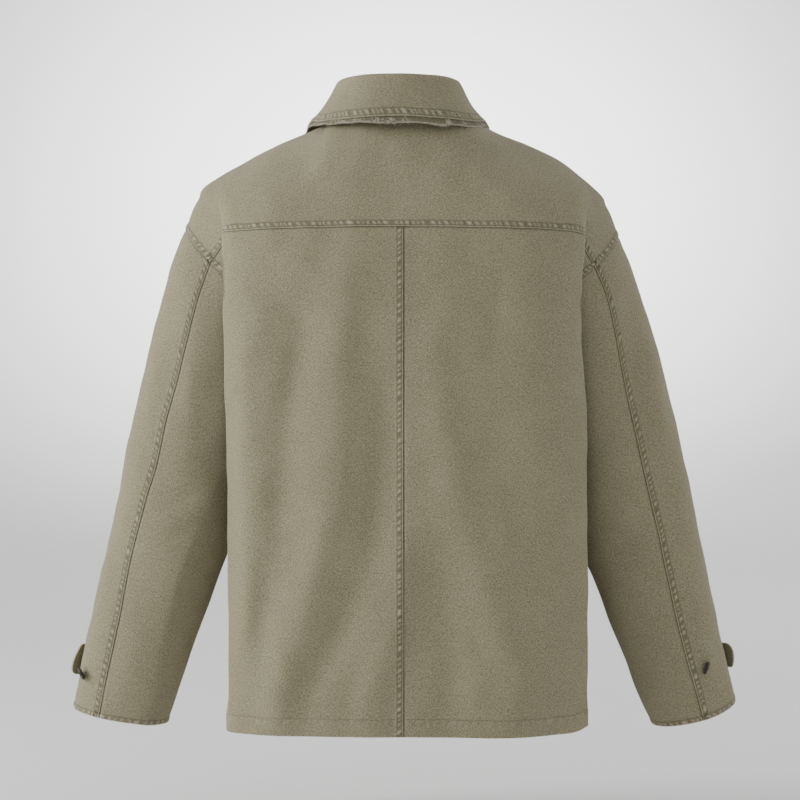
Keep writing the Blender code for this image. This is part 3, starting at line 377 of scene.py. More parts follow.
class Panel:
    """A cut piece as a grid: its own surface, directions out of the cloth, the cloth's measure in metres, how
    far seams push its outer face out, and its tone: above zero paler, for wear and painted highlight; below
    zero darker, for painted shade and for cloth coloured darker."""

    def __init__(self, form, outward, soft=1.0):
        self.out = normals_of(form, outward)
        self.base = form + self.out * (soft * rumple(form))[..., None]
        self.measure = np.stack([runs(form, 1), runs(form, 0)], axis=-1)
        self.push = np.zeros(form.shape[:2])
        self.wear_and_painted_light = np.zeros(form.shape[:2])

    def faced(self, values, edge):
        """The values turned so that their first line lies on the edge. Faced again, they are as before."""
        axis, last = EDGES[edge]
        values = values if axis == 0 else np.swapaxes(values, 0, 1)
        return values[::-1] if last else values

    def unfaced(self, values, edge):
        """Undo faced."""
        axis, last = EDGES[edge]
        values = values[::-1] if last else values
        return values if axis == 0 else np.swapaxes(values, 0, 1)

    def depth(self, edge):
        """Length in from an edge, at every point."""
        return self.unfaced(runs(self.faced(self.base, edge), 0), edge)

    def along(self, edge):
        """Length along an edge, at every point."""
        turned = self.faced(self.base, edge)
        return self.unfaced(np.broadcast_to(runs(turned[0], 0), turned.shape[:2]), edge)

    def sew_over(self, edge, seed, rows=STITCH_ROWS, lap=SEAM_LAP, height=PUCKER_HEIGHT, lean=0.5, wear_and_light_weight=1.0,
                 share=1.0):
        """Felled or turned edge: the cloth is raised as far as the last stitch row, dips along each row, has
        round bumps between the rows and lower ones beyond, and rounds off at the edge. Its tone is painted
        paler at the edge and on the bumps' crests, for wear and painted highlight, and darker in the bumps'
        troughs and along the stitch rows, as painted shade."""
        depth, along = self.depth(edge), self.along(edge)
        inner = rows[0] if len(rows) > 1 else max(rows[0] - PUCKER_REACH, 0.0)
        middle, half = (inner + rows[-1]) / 2, (rows[-1] - inner) / 2
        wave = uneven_beat(along + lean * depth, seed)
        near = np.exp(-((depth - middle) / (half * 0.80)) ** 2)
        beyond = np.exp(-((depth - middle) / 0.012) ** 2) * 0.30
        dips = sum(np.exp(-((depth - row) / 0.00055) ** 2) for row in rows)
        corner = np.exp(-depth / 0.0005)
        raised = lap * (1 - ease(depth, rows[-1], rows[-1] + 0.0022))
        self.push += share * (raised + height * wave * (near + beyond) - 0.00040 * dips - 0.0003 * corner)
        # Painted tone: the pale edge line and pale pucker crests are wear and painted highlight; the dark
        # pucker troughs and stitch-row dips are painted shade.
        high = ease(wave, -0.35, 0.80)
        bumps = near * (0.78 * high - 0.56 * (1 - high))
        edge_line = np.exp(-(depth / 0.0009) ** 2) * (0.35 + 0.30 * high)
        self.wear_and_painted_light += share * wear_and_light_weight * (edge_line + bumps - 0.70 * dips)

    def sink_under(self, edge, seed, share=1.0):
        """Edge beneath a felled seam: it sinks over the last 4 mm, puckers a little, and has a painted shadow,
        a dark line along its ditch.
        """
        depth, along = self.depth(edge), self.along(edge)
        wave = uneven_beat(along, seed) * np.exp(-(depth / 0.011) ** 2) * 0.25
        self.push += share * (PUCKER_HEIGHT * wave - SEAM_SINK * (1 - ease(depth, 0.0003, 0.0040)))
        # Painted shadow: a dark line along the ditch under the seam's edge.
        self.wear_and_painted_light += share * (-1.1 * np.exp(-(depth / 0.0009) ** 2))

    def tuck(self, edge):
        """Carry the edge on beneath its neighbour: three more lines, straight on and sinking."""
        reach = UNDERLAP * np.array([1.0, 0.5, 0.12])[:, None, None]
        sink = np.array([0.0022, 0.0013, 0.0004])[:, None, None]
        base, out = self.faced(self.base, edge), self.faced(self.out, edge)
        on = direction(base[0] - base[2])
        kept = [out] + [self.faced(values, edge) for values in (self.measure, self.push, self.wear_and_painted_light)]
        self.base = self.unfaced(np.concatenate([base[0] + on * reach - out[0] * sink, base]), edge)
        joined = [np.concatenate([np.repeat(values[:1], 3, axis=0), values]) for values in kept]
        self.out, self.measure, self.push, self.wear_and_painted_light = [self.unfaced(values, edge) for values in joined]

    def lay_folds(self, folds, facing):
        """Creases laid one by one, as seen from behind (facing -1) or from the front (1). A ridge is
        bell-shaped about its line. A turn is flat to its left and rises to its height on the right, then fades
        again. A facet rises to a crisp line over a wide left side and falls away on the line's right."""
        seen = ease(self.out[..., 1] * facing, -0.1, 0.3)
        flat = self.base[..., [0, 2]]
        for _, kind, height, half_width, line in folds:
            rows = np.column_stack([np.linspace(0, 1, len(line)), line])
            line = through(rows, np.linspace(0, 1, LINE_POINTS))
            margin = 4 * half_width
            box = np.all((flat > line.min(0) - margin) & (flat < line.max(0) + margin), axis=-1)
            if not box.any():
                continue
            away = flat[box][:, None] - line
            nearest = np.argmin((away ** 2).sum(-1), axis=1)
            own = away[np.arange(len(nearest)), nearest]
            ahead = direction(np.gradient(line, axis=0))[nearest]
            side = own[:, 0] * ahead[:, 1] - own[:, 1] * ahead[:, 0]
            gone = np.abs((own * ahead).sum(-1))
            way = nearest / (LINE_POINTS - 1)
            fade = ease(way, 0.0, 0.3) * (1 - ease(way, 0.7, 1.0))
            fade *= np.exp(-(gone / half_width) ** 2)
            shape = np.exp(-(side / half_width) ** 2)
            if kind == "facet":
                reach = half_width * np.where(side < 0, FACET_LEFT, 1.0)
                shape = np.exp((TURN_SOFT - np.sqrt(side ** 2 + TURN_SOFT ** 2)) / reach)
            elif kind == "turn":
                rise = (np.sqrt(side ** 2 + TURN_SOFT ** 2) + side) / 2 / half_width
                shape = np.minimum(rise, 1.5 - 0.5 * np.exp(1 - np.maximum(rise, 1)))
                shape *= 1 - ease(side, half_width, 4 * half_width)
            self.base[box] += (height * shape * fade * seen[box])[:, None] * self.out[box]

    def line_at(self, edge, depth, low=0.0, high=1.0):
        """Points and outward directions along the line at one depth in from an edge, for a share of its
        length."""
        surface = self.faced(self.base + self.out * self.push[..., None], edge)
        out = self.faced(self.out, edge)
        run = runs(self.faced(self.base, edge), 0)
        lines = np.arange(run.shape[1])
        lines = lines[(lines >= low * len(lines)) & (lines <= high * len(lines))]
        after = np.clip((run < depth).sum(axis=0), 1, len(run) - 1)[lines]
        before = after - 1
        share = ((depth - run[before, lines]) / (run[after, lines] - run[before, lines]))[:, None]
        return [(1 - share) * values[before, lines] + share * values[after, lines] for values in (surface, out)]


def grid_faces(rows, columns, start=0):
    """Corner numbers of a grid's quads."""
    numbers = start + np.arange(rows * columns).reshape(rows, columns)
    corners = [numbers[:-1, :-1], numbers[:-1, 1:], numbers[1:, 1:], numbers[1:, :-1]]
    return np.stack(corners, axis=-1).reshape(-1, 4)


def closed_faces(rings, corners):
    """Corner numbers of the quads of a grid that closes round on itself."""
    first = np.arange((rings - 1) * corners).reshape(rings - 1, corners)
    later = np.roll(first, -1, axis=1)
    return np.stack([first, later, later + corners, first + corners], axis=-1).reshape(-1, 4)


def rim_order(rows, columns):
    """Point numbers of a grid's border, once round."""
    numbers = np.arange(rows * columns).reshape(rows, columns)
    return np.concatenate([numbers[0, :-1], numbers[:-1, -1], numbers[-1, :0:-1], numbers[:0:-1, 0]])


def mesh_of(name, points, faces, finish, measure=None, wear_and_painted_light=None):
    """Piece from whole arrays: points and quads, and the cloth's measure and painted tone at each point."""
    mesh = bpy.data.meshes.new(name)
    mesh.vertices.add(len(points))
    mesh.vertices.foreach_set("co", np.ascontiguousarray(points, np.float32).ravel())
    mesh.loops.add(faces.size)
    mesh.loops.foreach_set("vertex_index", np.ascontiguousarray(faces, np.int32).ravel())
    mesh.polygons.add(len(faces))
    mesh.polygons.foreach_set("loop_start", np.arange(0, faces.size, 4, dtype=np.int32))
    mesh.update(calc_edges=True)
    if measure is not None:
        layer = mesh.uv_layers.new(name="cloth")
        layer.data.foreach_set("uv", np.ascontiguousarray(measure[faces.ravel()], np.float32).ravel())
        mark = mesh.attributes.new("wear_and_painted_light", "FLOAT", "POINT")
        mark.data.foreach_set("value", np.ascontiguousarray(wear_and_painted_light, np.float32))
    mesh.materials.append(finish)
    mesh.shade_smooth()
    piece = bpy.data.objects.new(name, mesh)
    bpy.context.scene.collection.objects.link(piece)
    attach(piece, "root")
    return piece


def cloth_piece(panel, name, wall, finish, nodes):
    """Cloth shell of a panel: the fine outer face, a rim round it and a plainer inner face one wall behind."""
    outer = panel.base + panel.out * np.maximum(panel.push, LEAST_WALL - wall)[..., None]
    behind = panel.base - panel.out * np.broadcast_to(wall, panel.push.shape)[..., None]
    rows, columns = panel.push.shape
    pick = np.ix_(np.unique(np.append(np.arange(0, rows, INNER_STEP), rows - 1)),
                  np.unique(np.append(np.arange(0, columns, INNER_STEP), columns - 1)))
    inner = behind[pick]
    border = rim_order(rows, columns)
    first_rim = rows * columns
    first_inner = first_rim + 2 * len(border)
    face = outer.reshape(-1, 3)
    points = np.concatenate([face, face[border], behind.reshape(-1, 3)[border], inner.reshape(-1, 3)])
    k = np.arange(len(border))
    after = (k + 1) % len(border)
    rim = first_rim + np.stack([after, k, len(border) + k, len(border) + after], axis=-1)
    faces = [grid_faces(rows, columns), rim, grid_faces(*inner.shape[:2], start=first_inner)[:, ::-1]]
    across, down = outer[0, 1] - outer[0, 0], outer[1, 0] - outer[0, 0]
    if np.dot(np.cross(across, down), panel.out[0, 0]) < 0:
        faces = [quads[:, ::-1] for quads in faces]
    flat = panel.measure.reshape(-1, 2)
    measure = np.concatenate([flat, flat[border], flat[border], panel.measure[pick].reshape(-1, 2)])
    rim_wear_and_painted_light = panel.wear_and_painted_light.ravel()[border]
    # The rim keeps the outer face's painted tone; the inner face is coloured a little darker all over.
    wear_and_painted_light = np.concatenate([panel.wear_and_painted_light.ravel(), rim_wear_and_painted_light, rim_wear_and_painted_light, np.full(inner[..., 0].size, -0.15)])
    piece = mesh_of(name, points, np.concatenate(faces), finish, measure, wear_and_painted_light)
    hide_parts(*nodes)
    cells = length(np.cross(outer[1:, :-1] - outer[:-1, :-1], outer[:-1, 1:] - outer[:-1, :-1])).sum()
    return piece


STITCH_PITCH = 0.0027
STITCH_LENGTH = 0.0020
STITCH_WIDTH = 0.00052


def sew(name, lines, finish, pitch=STITCH_PITCH, long=STITCH_LENGTH, thick=STITCH_WIDTH):
    """Stitches along lines of points with directions out: each is a short arched bar of four rings of four
    corners, with tapered ends that dive into the cloth. A very short line has one stitch, at its middle."""
    centres, aheads, outs = [], [], []
    for points, out in lines:
        run = runs(points, 0)
        at = np.arange(pitch * 0.7, run[-1] - pitch * 0.5, pitch)
        if len(at) == 0:
            at = run[-1:] / 2
        place =[np.stack([np.interp(at + step, run, points[:, axis]) for axis in range(3)], axis=-1)
                 for step in (-pitch / 3, 0, pitch / 3)]
        centres.append(place[1])
        aheads.append(direction(place[2] - place[0]))
        outs.append(np.stack([np.interp(at, run, out[:, axis]) for axis in range(3)], axis=-1))
    centre, ahead, out = [np.concatenate(rows)[:, None, None] for rows in (centres, aheads, outs)]
    side = direction(np.cross(ahead, out))
    out = np.cross(side, ahead)
    forward = np.array([-0.5, -0.34, 0.34, 0.5])[:, None, None] * long
    rise = np.array([-0.35, 0.22, 0.22, -0.35])[:, None, None] * thick
    round_by = np.array([0.35, 1.0, 1.0, 0.35])[:, None] * thick / 2
    turn = np.arange(4) * np.pi / 2
    points = (centre + ahead * forward + out * rise + side * (round_by * np.cos(turn))[..., None]
              + out * (round_by * np.sin(turn))[..., None])
    quads = np.concatenate([closed_faces(4, 4), [[3, 2, 1, 0], [12, 13, 14, 15]]])
    faces = (np.arange(len(points))[:, None, None] * 16 + quads).reshape(-1, 4)
    return mesh_of(name, points.reshape(-1, 3), faces, finish)


def add_node(tree, kind, inputs=None, **settings):
    """Shader node with its settings, and its inputs set to values or linked to sockets."""
    node = tree.nodes.new(kind)
    for setting, value in settings.items():
        setattr(node, setting, value)
    for socket, value in (inputs or {}).items():
        if isinstance(value, bpy.types.NodeSocket):
            tree.links.new(value, node.inputs[socket])
        else:
            node.inputs[socket].default_value = value
    return node


# The weave as waves and noise for each metre of cloth: diagonal ribs, and threads across and along themselves
RIBS = 555.0
THREAD_FINE = 1250.0
THREAD_LONG = 420.0


def twill_finish(name, pale, deep, worn_and_highlit, painted_shade):
    """Washed twill, on the cloth's own measure: diagonal ribs 0.8 mm apart, uneven threads both ways, cloudy
    fading, paler where worn and at painted highlights, darker in painted shade along ditches, stitch rows and
    pucker troughs, with a faint nap."""
    finish = bpy.data.materials.new(name)
    finish.use_nodes = True
    tree = finish.node_tree
    shader = tree.nodes["Principled BSDF"]
    measure = add_node(tree, "ShaderNodeUVMap", uv_map="cloth").outputs["UV"]
    place = add_node(tree, "ShaderNodeTexCoord").outputs["Object"]

    def noise(vector, scale, detail, stretch=(1.0, 1.0, 1.0)):
        mapped = add_node(tree, "ShaderNodeMapping", {"Vector": vector, "Scale": stretch}).outputs["Vector"]
        return add_node(tree, "ShaderNodeTexNoise", {"Vector": mapped, "Scale": scale, "Detail": detail,
                                                     "Roughness": 0.6}).outputs["Fac"]

    def math(operation, *values, **settings):
        inputs = dict(enumerate(values))
        return add_node(tree, "ShaderNodeMath", inputs, operation=operation, **settings).outputs[0]

    def blend(total, value, weight):
        """Total plus the value's distance from one half, times the weight."""
        return math("ADD", total, math("MULTIPLY_ADD", value, weight, -weight / 2))

    def mix(share, low, high):
        return add_node(tree, "ShaderNodeMix", {"Factor": share, "A": low, "B": high},
                        data_type="RGBA").outputs["Result"]

    ribs = add_node(tree, "ShaderNodeTexWave", {"Vector": measure, "Scale": RIBS, "Distortion": 1.6,
                                                "Detail": 2.0, "Detail Scale": 1.5},
                    bands_direction="DIAGONAL").outputs["Fac"]
    clouds = noise(place, 14.0, 3.0)
    mottle = noise(place, 95.0, 3.0)
    weft = noise(measure, 1.0, 2.0, (THREAD_LONG, THREAD_FINE, 1.0))
    warp = noise(measure, 1.0, 2.0, (THREAD_FINE, THREAD_LONG, 1.0))
    slubs = noise(place, 860.0, 1.0)
    tone = 0.5
    for value, weight in ((clouds, 0.35), (mottle, 0.18), (slubs, 1.6), (weft, 2.2), (warp, 2.2),
                          (ribs, 0.30)):
        tone = blend(tone, value, weight)
    colour = mix(tone, (*deep, 1.0), (*pale, 1.0))
    # Below zero the tone turns the colour darker, as painted shade; above zero paler, for wear and painted
    # highlight.
    wear_and_painted_light = add_node(tree, "ShaderNodeAttribute", attribute_name="wear_and_painted_light").outputs["Fac"]
    colour = mix(math("MULTIPLY", wear_and_painted_light, -1.0, use_clamp=True), colour, (*painted_shade, 1.0))
    colour = mix(math("MULTIPLY", wear_and_painted_light, 1.0, use_clamp=True), colour, (*worn_and_highlit, 1.0))
    tree.links.new(colour, shader.inputs["Base Color"])
    height = blend(blend(blend(0.5, ribs, 0.5), weft, 0.7), warp, 0.7)
    bump = add_node(tree, "ShaderNodeBump", {"Height": height, "Strength": 0.7, "Distance": 0.00025})
    tree.links.new(bump.outputs["Normal"], shader.inputs["Normal"])
    shader.inputs["Roughness"].default_value = 0.88
    shader.inputs["Specular IOR Level"].default_value = 0.25
    shader.inputs["Sheen Weight"].default_value = 0.12
    shader.inputs["Sheen Roughness"].default_value = 0.5
    return finish


def thread_finish(name, colour):
    """Matt cotton thread, its tone changing a little from place to place."""
    finish = bpy.data.materials.new(name)
    finish.use_nodes = True
    tree = finish.node_tree
    shader = tree.nodes["Principled BSDF"]
    place = add_node(tree, "ShaderNodeTexCoord").outputs["Object"]
    tone = add_node(tree, "ShaderNodeTexNoise", {"Vector": place, "Scale": 400.0, "Detail": 2.0}).outputs["Fac"]
    dark = tuple(value * 0.7 for value in colour)
    bright = tuple(value * 1.3 for value in colour)
    mixed = add_node(tree, "ShaderNodeMix", {"Factor": tone, "A": (*dark, 1.0), "B": (*bright, 1.0)},
                     data_type="RGBA").outputs["Result"]
    tree.links.new(mixed, shader.inputs["Base Color"])
    shader.inputs["Roughness"].default_value = 0.8
    return finish


# Its palest colour is for wear and painted highlight, its darkest for painted shade.
TWILL = twill_finish("washed_twill", pale=(0.330, 0.300, 0.192), deep=(0.148, 0.134, 0.080),
                     worn_and_highlit=(0.410, 0.378, 0.275), painted_shade=(0.072, 0.064, 0.038))
SEAM_THREAD = thread_finish("seam_thread", (0.165, 0.150, 0.100))

# Creases of the back beyond the large drape folds: name, kind, height, half width, and its line of (x, z)
BACK_CREASES = [
    ("left armhole pull", "ridge", 0.0016, 0.010, [(-0.188, -0.175), (-0.165, -0.205), (-0.150, -0.250)]),
    ("left shoulder dent", "ridge", -0.0014, 0.012, [(-0.160, -0.150), (-0.140, -0.185), (-0.128, -0.235)]),
    ("left waist turn", "turn", -0.0022, 0.016, [(-0.132, -0.560), (-0.150, -0.470), (-0.158, -0.380)]),
    ("left low ridge", "ridge", 0.0014, 0.012, [(-0.150, -0.520), (-0.135, -0.590), (-0.118, -0.650)]),
    ("middle fine ridge", "ridge", 0.0010, 0.007, [(-0.062, -0.330), (-0.068, -0.400), (-0.078, -0.455)]),
    ("middle low ridge", "ridge", 0.0012, 0.009, [(-0.030, -0.580), (-0.040, -0.625), (-0.052, -0.668)]),
    ("right high dent", "ridge", -0.0012, 0.012, [(0.120, -0.165), (0.104, -0.215), (0.094, -0.280)]),
    ("right armhole pull", "ridge", 0.0012, 0.010, [(0.186, -0.185), (0.165, -0.215), (0.150, -0.262)]),
    ("right waist ridge", "ridge", 0.0012, 0.010, [(0.096, -0.400), (0.110, -0.455), (0.130, -0.520)]),
    ("right low ridge", "ridge", 0.0011, 0.012, [(0.060, -0.560), (0.070, -0.610), (0.086, -0.660)]),
]
SPACING = 0.0019
WIDE_SPACING = 0.0034
FOLD_ZONE = 0.003
SIDES = ((-1, "left"), (1, "right"))
HEM_ROW = (0.0196,)
HEM_ZONE = (0.0185, 0.0207)
# Pale line along the side fold, for wear and a painted highlight.
FOLD_WEAR_AND_HIGHLIGHT = 0.55
FOLD_WEAR_AND_HIGHLIGHT_WIDTH = 0.0011


def level_row(side, z, front):
    """A function from shares to points, for spacing the shares evenly along a level of the body."""
    return lambda shares: body_section(shares, np.array([z]), side_seam(np.array([z])), side, front)[0]


def straight(long):
    """A function from parameters to points on a straight line, so long for each one of the parameter."""
    return lambda values: stack(0 * values, 0 * values, values * long)


def fold_zone(row):
    """Lengths along a level's row between which it turns round the side fold."""
    run = runs(row(np.linspace(0, 1, 400)), 0)[-1]
    return run - FOLD_ZONE, run + FOLD_ZONE


back_row = level_row(-1, -0.45, False)
body_shares = even(np.array([0.0, NECK_SHARE, 1.0, 2.0]), back_row, WIDE_SPACING,
                   [(0.0, 0.0085), fold_zone(back_row), (-0.0095, 0.0)])
body_heights = even(np.array([HEM_Z, ARMPIT_Z]), straight(1.0), SPACING, [HEM_ZONE])[:-1]
back_places = even(np.array([0.0, 1.0]), straight(YOKE_SEAM_Z - ARMPIT_Z), SPACING, [(-0.0042, 0.0)])
back_seams = []
for side, word in SIDES:
    form = back_form(side, body_shares, body_heights, back_places)
    panel = Panel(form, form * (1, 1, 0))
    panel.lay_folds(BACK_CREASES, facing=-1)
    across = panel.depth("start")
    from_fold = across - across[:, [np.argmax(body_shares >= 1)]]
    # A pale line along the side fold: wear and a painted highlight.
    panel.wear_and_painted_light += FOLD_WEAR_AND_HIGHLIGHT * np.exp(-(from_fold / FOLD_WEAR_AND_HIGHLIGHT_WIDTH) ** 2)
    if side < 0:
        panel.sew_over("start", seed=1)
        back_seams += [panel.line_at("start", depth) for depth in STITCH_ROWS]
    else:
        panel.sink_under("start", seed=1)
    panel.sew_over("end", seed=2 + side)
    panel.sink_under("top", seed=5)
    panel.sew_over("low", seed=7 + side, rows=HEM_ROW, lap=0.0003, height=0.00022, lean=0.1, wear_and_light_weight=0.3)
    back_seams += [panel.line_at("end", depth) for depth in STITCH_ROWS] + [panel.line_at("low", HEM_ROW[0])]
    panel.tuck("top")
    if side > 0:
        panel.tuck("start")
    wall = WALL + (HEM_WALL - WALL) * (panel.depth("low") < HEM_DEPTH)
    cloth_piece(panel, f"back_{word}_cloth", wall, TWILL, [f"back_{word}"])
sew("back_stitches", back_seams, SEAM_THREAD)

# ---------------------------------------------------------------- yoke
# One piece of the same twill over both shoulders: its lower edge is felled down on the backs with two stitch
# rows, it runs over the top of the shoulders to a seam at the front, and its ends lie on the sleeves.
SHOULDER = [
    # share, x,     z
    (0.41, 0.0880,  0.0010),
    (0.50, 0.1070, -0.0085),
    (0.715, 0.1527, -0.0285),
    (1.00, 0.2143, -0.0627),
    (1.46, 0.2348, -0.0855),
    (2.00, 0.2485, -0.1186),
]
NECK_BACK = (0.075, 0.006)
NECK_SOFT_SHARE = 0.58
NECK_FRONT = [
    # share, x,     y,      z
    (0.00, 0.0015,  0.0720, -0.0820),
    (0.14, 0.0400,  0.0660, -0.0660),
    (0.28, 0.0700,  0.0500, -0.0370),
    (0.41, 0.0840,  0.0280, -0.0090),
]
FRONT_SEAM_OFFSET = [(0.41, -0.0040, 0.028, -0.0100), (2.0, -0.0105, 0.032, -0.0164)]


def shoulder_row(shares):
    """Neck seam at the back and then the top of the shoulder, by share of the panel's width."""
    ridge = through(SHOULDER, shares)
    neck_x = SHOULDER[0][1]
    x = neck_x * np.clip(shares / NECK_SHARE, 0, 1)
    y = -NECK_BACK[0] * np.sqrt(np.clip(1 - (x / neck_x) ** 2, 0, 1))
    neck_z = NECK_BACK[1] + (SHOULDER[0][2] - NECK_BACK[1]) * (shares / NECK_SHARE) ** 2
    on_neck = shares < NECK_SHARE
    x, z = np.where(on_neck, x, ridge[:, 0]), np.where(on_neck, neck_z, ridge[:, 1])
    return stack(x, np.where(on_neck, y, 0), z)


def front_seam_row(shares):
    """Neck seam at the front and then the yoke's front seam, by share of the panel's width."""
    neck = through(NECK_FRONT, shares)
    forward = through(FRONT_SEAM_OFFSET, shares)
    return np.where((shares < NECK_SHARE)[:, None], neck, shoulder_row(shares) + forward)


def arch(start, end, leave, arrive, steps):
    """Rows from start to end that leave and arrive along the given directions, each as long as the chord."""
    chord = length(end - start)
    return blend_ends(start, end, leave * chord, arrive * chord, steps[:, None, None])


def hold_armhole(points, places, shares):
    """Bring the outer columns of a shoulder sheet on to the armhole seam."""
    pull = ease(shares, 1.0, 2.0)[None, :, None]
    return points + pull * (armhole(places)[:, None, :] - points[:, -1:, :])


def yoke_form(side, shares, places):
    """Yoke from its back seam (place 1) up to the neck seam and the top of the shoulder (2)."""
    seam = back_form(side, shares, np.zeros(0), np.array([1.0]))[0]
    low = settle_back(seam * (side, 1, 1), side)
    top = shoulder_row(shares)
    lean = ease(shares, 0.0, NECK_SHARE)[:, None]
    arrive = direction((1 - lean) * (0, 0.45, 0.90) + lean * np.array((0, 1, 0)))
    leave = np.broadcast_to(direction(np.array((0.0, 0.15, 1.0))), top.shape)
    rounded = np.array(top)
    rounded[:, 1] = NECK_BACK[0] * (ease(shares, 0, NECK_SOFT_SHARE) - 1)
    grid = arch(low, rounded, leave, arrive, places - 1)
    grid += (top - rounded) * ease(places, 1.6, 2.0)[:, None, None]
    return settle(hold_armhole(grid, places, shares), side)


def over_shoulder_form(side, shares, places):
    """The yoke's strip from the top of the shoulder (place 2) forward to its front seam (3)."""
    top, front = shoulder_row(shares), front_seam_row(shares)
    leave = np.broadcast_to((0.0, 1.0, 0.0), top.shape)
    arrive = np.broadcast_to((0.0, 0.85, -0.55), top.shape)
    return settle(hold_armhole(arch(top, front, leave, arrive, places - 2), places, shares), side)


CHEST_MIDDLE = np.array((0.0, 0.0, -0.25))
SHOULDER_RUN = 0.036
YOKE_CREASES = [
    ("left collar pull", "ridge", 0.0012, 0.010, [(-0.075, -0.035), (-0.100, -0.070), (-0.135, -0.110)]),
    ("left shoulder ridge", "ridge", 0.0013, 0.009, [(-0.205, -0.075), (-0.196, -0.100), (-0.190, -0.122)]),
    ("centre dent", "ridge", -0.0009, 0.016, [(-0.020, -0.050), (-0.012, -0.075), (0.004, -0.108)]),
    ("right collar pull", "ridge", 0.0011, 0.010, [(0.070, -0.040), (0.098, -0.072), (0.130, -0.108)]),
    ("right shoulder ridge", "ridge", 0.0012, 0.010, [(0.208, -0.085), (0.196, -0.105), (0.190, -0.128)]),
]

half_shares = even(np.array([0.0, NECK_SHARE, 1.0, 2.0]), level_row(-1, -0.126, False), SPACING,
                   [(-0.0095, 0.0)])
yoke_places = even(np.array([1.0, 2.0]), lambda places: yoke_form(-1, np.array([0.5]), places)[:, 0],
                   WIDE_SPACING, [(0.0, 0.0085)])
over_places = even(np.array([2.0, 3.0]), straight(SHOULDER_RUN), SPACING, [(-0.0085, 0.0)])
left_half, right_half = [yoke_form(side, half_shares, yoke_places) for side, _ in SIDES]
yoke = np.concatenate([left_half[:, :0:-1], right_half], axis=1)
panel = Panel(yoke, yoke - CHEST_MIDDLE)
panel.lay_folds(YOKE_CREASES, facing=-1)
panel.sew_over("low", seed=12)
panel.sew_over("start", seed=13)
panel.sew_over("end", seed=14)
fold_line = np.concatenate([-half_shares[:0:-1], half_shares])
fold_fade = 1 - ease(panel.depth("low"), 0.0, 0.045)
# A pale line along the yoke's side folds: wear and a painted highlight.
panel.wear_and_painted_light += 0.40 * np.exp(-((np.abs(fold_line) - 1) / 0.012) ** 2) * fold_fade
yoke_seams = [panel.line_at(edge, depth) for edge in ("low", "start", "end") for depth in STITCH_ROWS]
cloth_piece(panel, "yoke_cloth", WALL, TWILL, ["yoke"])

outer_shares = half_shares[half_shares >= NECK_SHARE - 1e-9]
for side, word in SIDES:
    form = over_shoulder_form(side, outer_shares, over_places)
    panel = Panel(form, form - CHEST_MIDDLE)
    panel.sew_over("top", seed=16)
    panel.sew_over("end", seed=15 + side)
    yoke_seams += [panel.line_at(edge, depth) for edge in ("top", "end") for depth in STITCH_ROWS]
    cloth_piece(panel, f"yoke_shoulder_{word}_cloth", WALL, TWILL, ["yoke"])
sew("yoke_stitches", yoke_seams, SEAM_THREAD)

# ---------------------------------------------------------------- fronts
# Two front panels of the same twill. The wearer's left one laps over the right one at the centre, each ends
# there in a turned and stitched edge, and both go under the yoke, over the sleeves and under the backs.
PLACKET = 0.0175
PLACKET_LIFT = 0.0017
CENTRE_GAP = 0.0015
PLACKET_ROWS = (0.0022, 0.0320)
PLACKET_EDGE = 0.006
PLACKET_FINE = 0.0006
FRONT_FOLDS = [
    ("left ridge", 0.0055, 0.024, [(-0.24, -0.090), (-0.42, -0.100), (-0.64, -0.135)]),
    ("left trough", -0.0045, 0.022, [(-0.24, -0.055), (-0.42, -0.062), (-0.64, -0.085)]),
    ("right ridge", 0.0050, 0.024, [(-0.26, 0.085), (-0.45, 0.105), (-0.64, 0.128)]),
    ("right trough", -0.0040, 0.022, [(-0.26, 0.050), (-0.45, 0.064), (-0.64, 0.082)]),
]


def front_form(side, shares, heights, places):
    """Front from the hem to the neck and shoulder seam: rows at the heights, then at places 4 down to 3."""
    low = body_section(shares, np.array([ARMPIT_Z]), armhole([4.0]), side, front=True)[0]
    low[:, 0] = np.maximum(low[:, 0], CENTRE_GAP)
    top = front_seam_row(shares)
    lean = ease(shares, 0.0, NECK_SHARE)[:, None]
    leave = 0.6 * direction((1 - lean) * (0, 0.35, -0.94) + lean * np.array((0, 0.85, -0.55)))
    arrive = np.broadcast_to((0.0, 0.05, -0.9), top.shape)
    grid = arch(top, low, leave, arrive, places - 3)
    fold = grid[:, np.argmin(np.abs(shares - 1))][:, None]
    back = through(FOLD_RETURN, shares - 1)[:, [0, 1, 1]]
    tucked = fold + (armhole(places)[:, None, :] - fold) * back
    tuck = (ease(places, 3.0, 3.3)[:, None] * (shares > 1))[..., None]
    upper = hold_armhole(grid, places, shares) * (1 - tuck) + tucked * tuck
    lower = body_section(shares, heights, side_seam(heights), side, front=True)
    lower[..., 0] = np.maximum(lower[..., 0], CENTRE_GAP)
    return np.concatenate([lower, upper])


FRONT_CREASES = [
    ("left armhole pull", "ridge", 0.0016, 0.010, [(-0.182, -0.200), (-0.155, -0.225), (-0.128, -0.270)]),
    ("left chest dent", "ridge", -0.0014, 0.014, [(-0.150, -0.110), (-0.128, -0.160), (-0.118, -0.220)]),
    ("left waist turn", "turn", -0.0022, 0.016, [(-0.128, -0.560), (-0.140, -0.480), (-0.150, -0.380)]),
    ("left placket ridge", "ridge", 0.0011, 0.008, [(-0.045, -0.260), (-0.040, -0.330), (-0.048, -0.400)]),
    ("right armhole pull", "ridge", 0.0016, 0.010, [(0.182, -0.205), (0.152, -0.232), (0.122, -0.275)]),
    ("right chest dent", "ridge", -0.0013, 0.014, [(0.146, -0.120), (0.124, -0.170), (0.112, -0.230)]),
    ("right placket ridge", "ridge", 0.0012, 0.009, [(0.040, -0.420), (0.052, -0.480), (0.050, -0.560)]),
    ("right low ridge", "ridge", 0.0013, 0.012, [(0.120, -0.520), (0.105, -0.590), (0.096, -0.655)]),
]
FRONT_SPACING = 0.0024
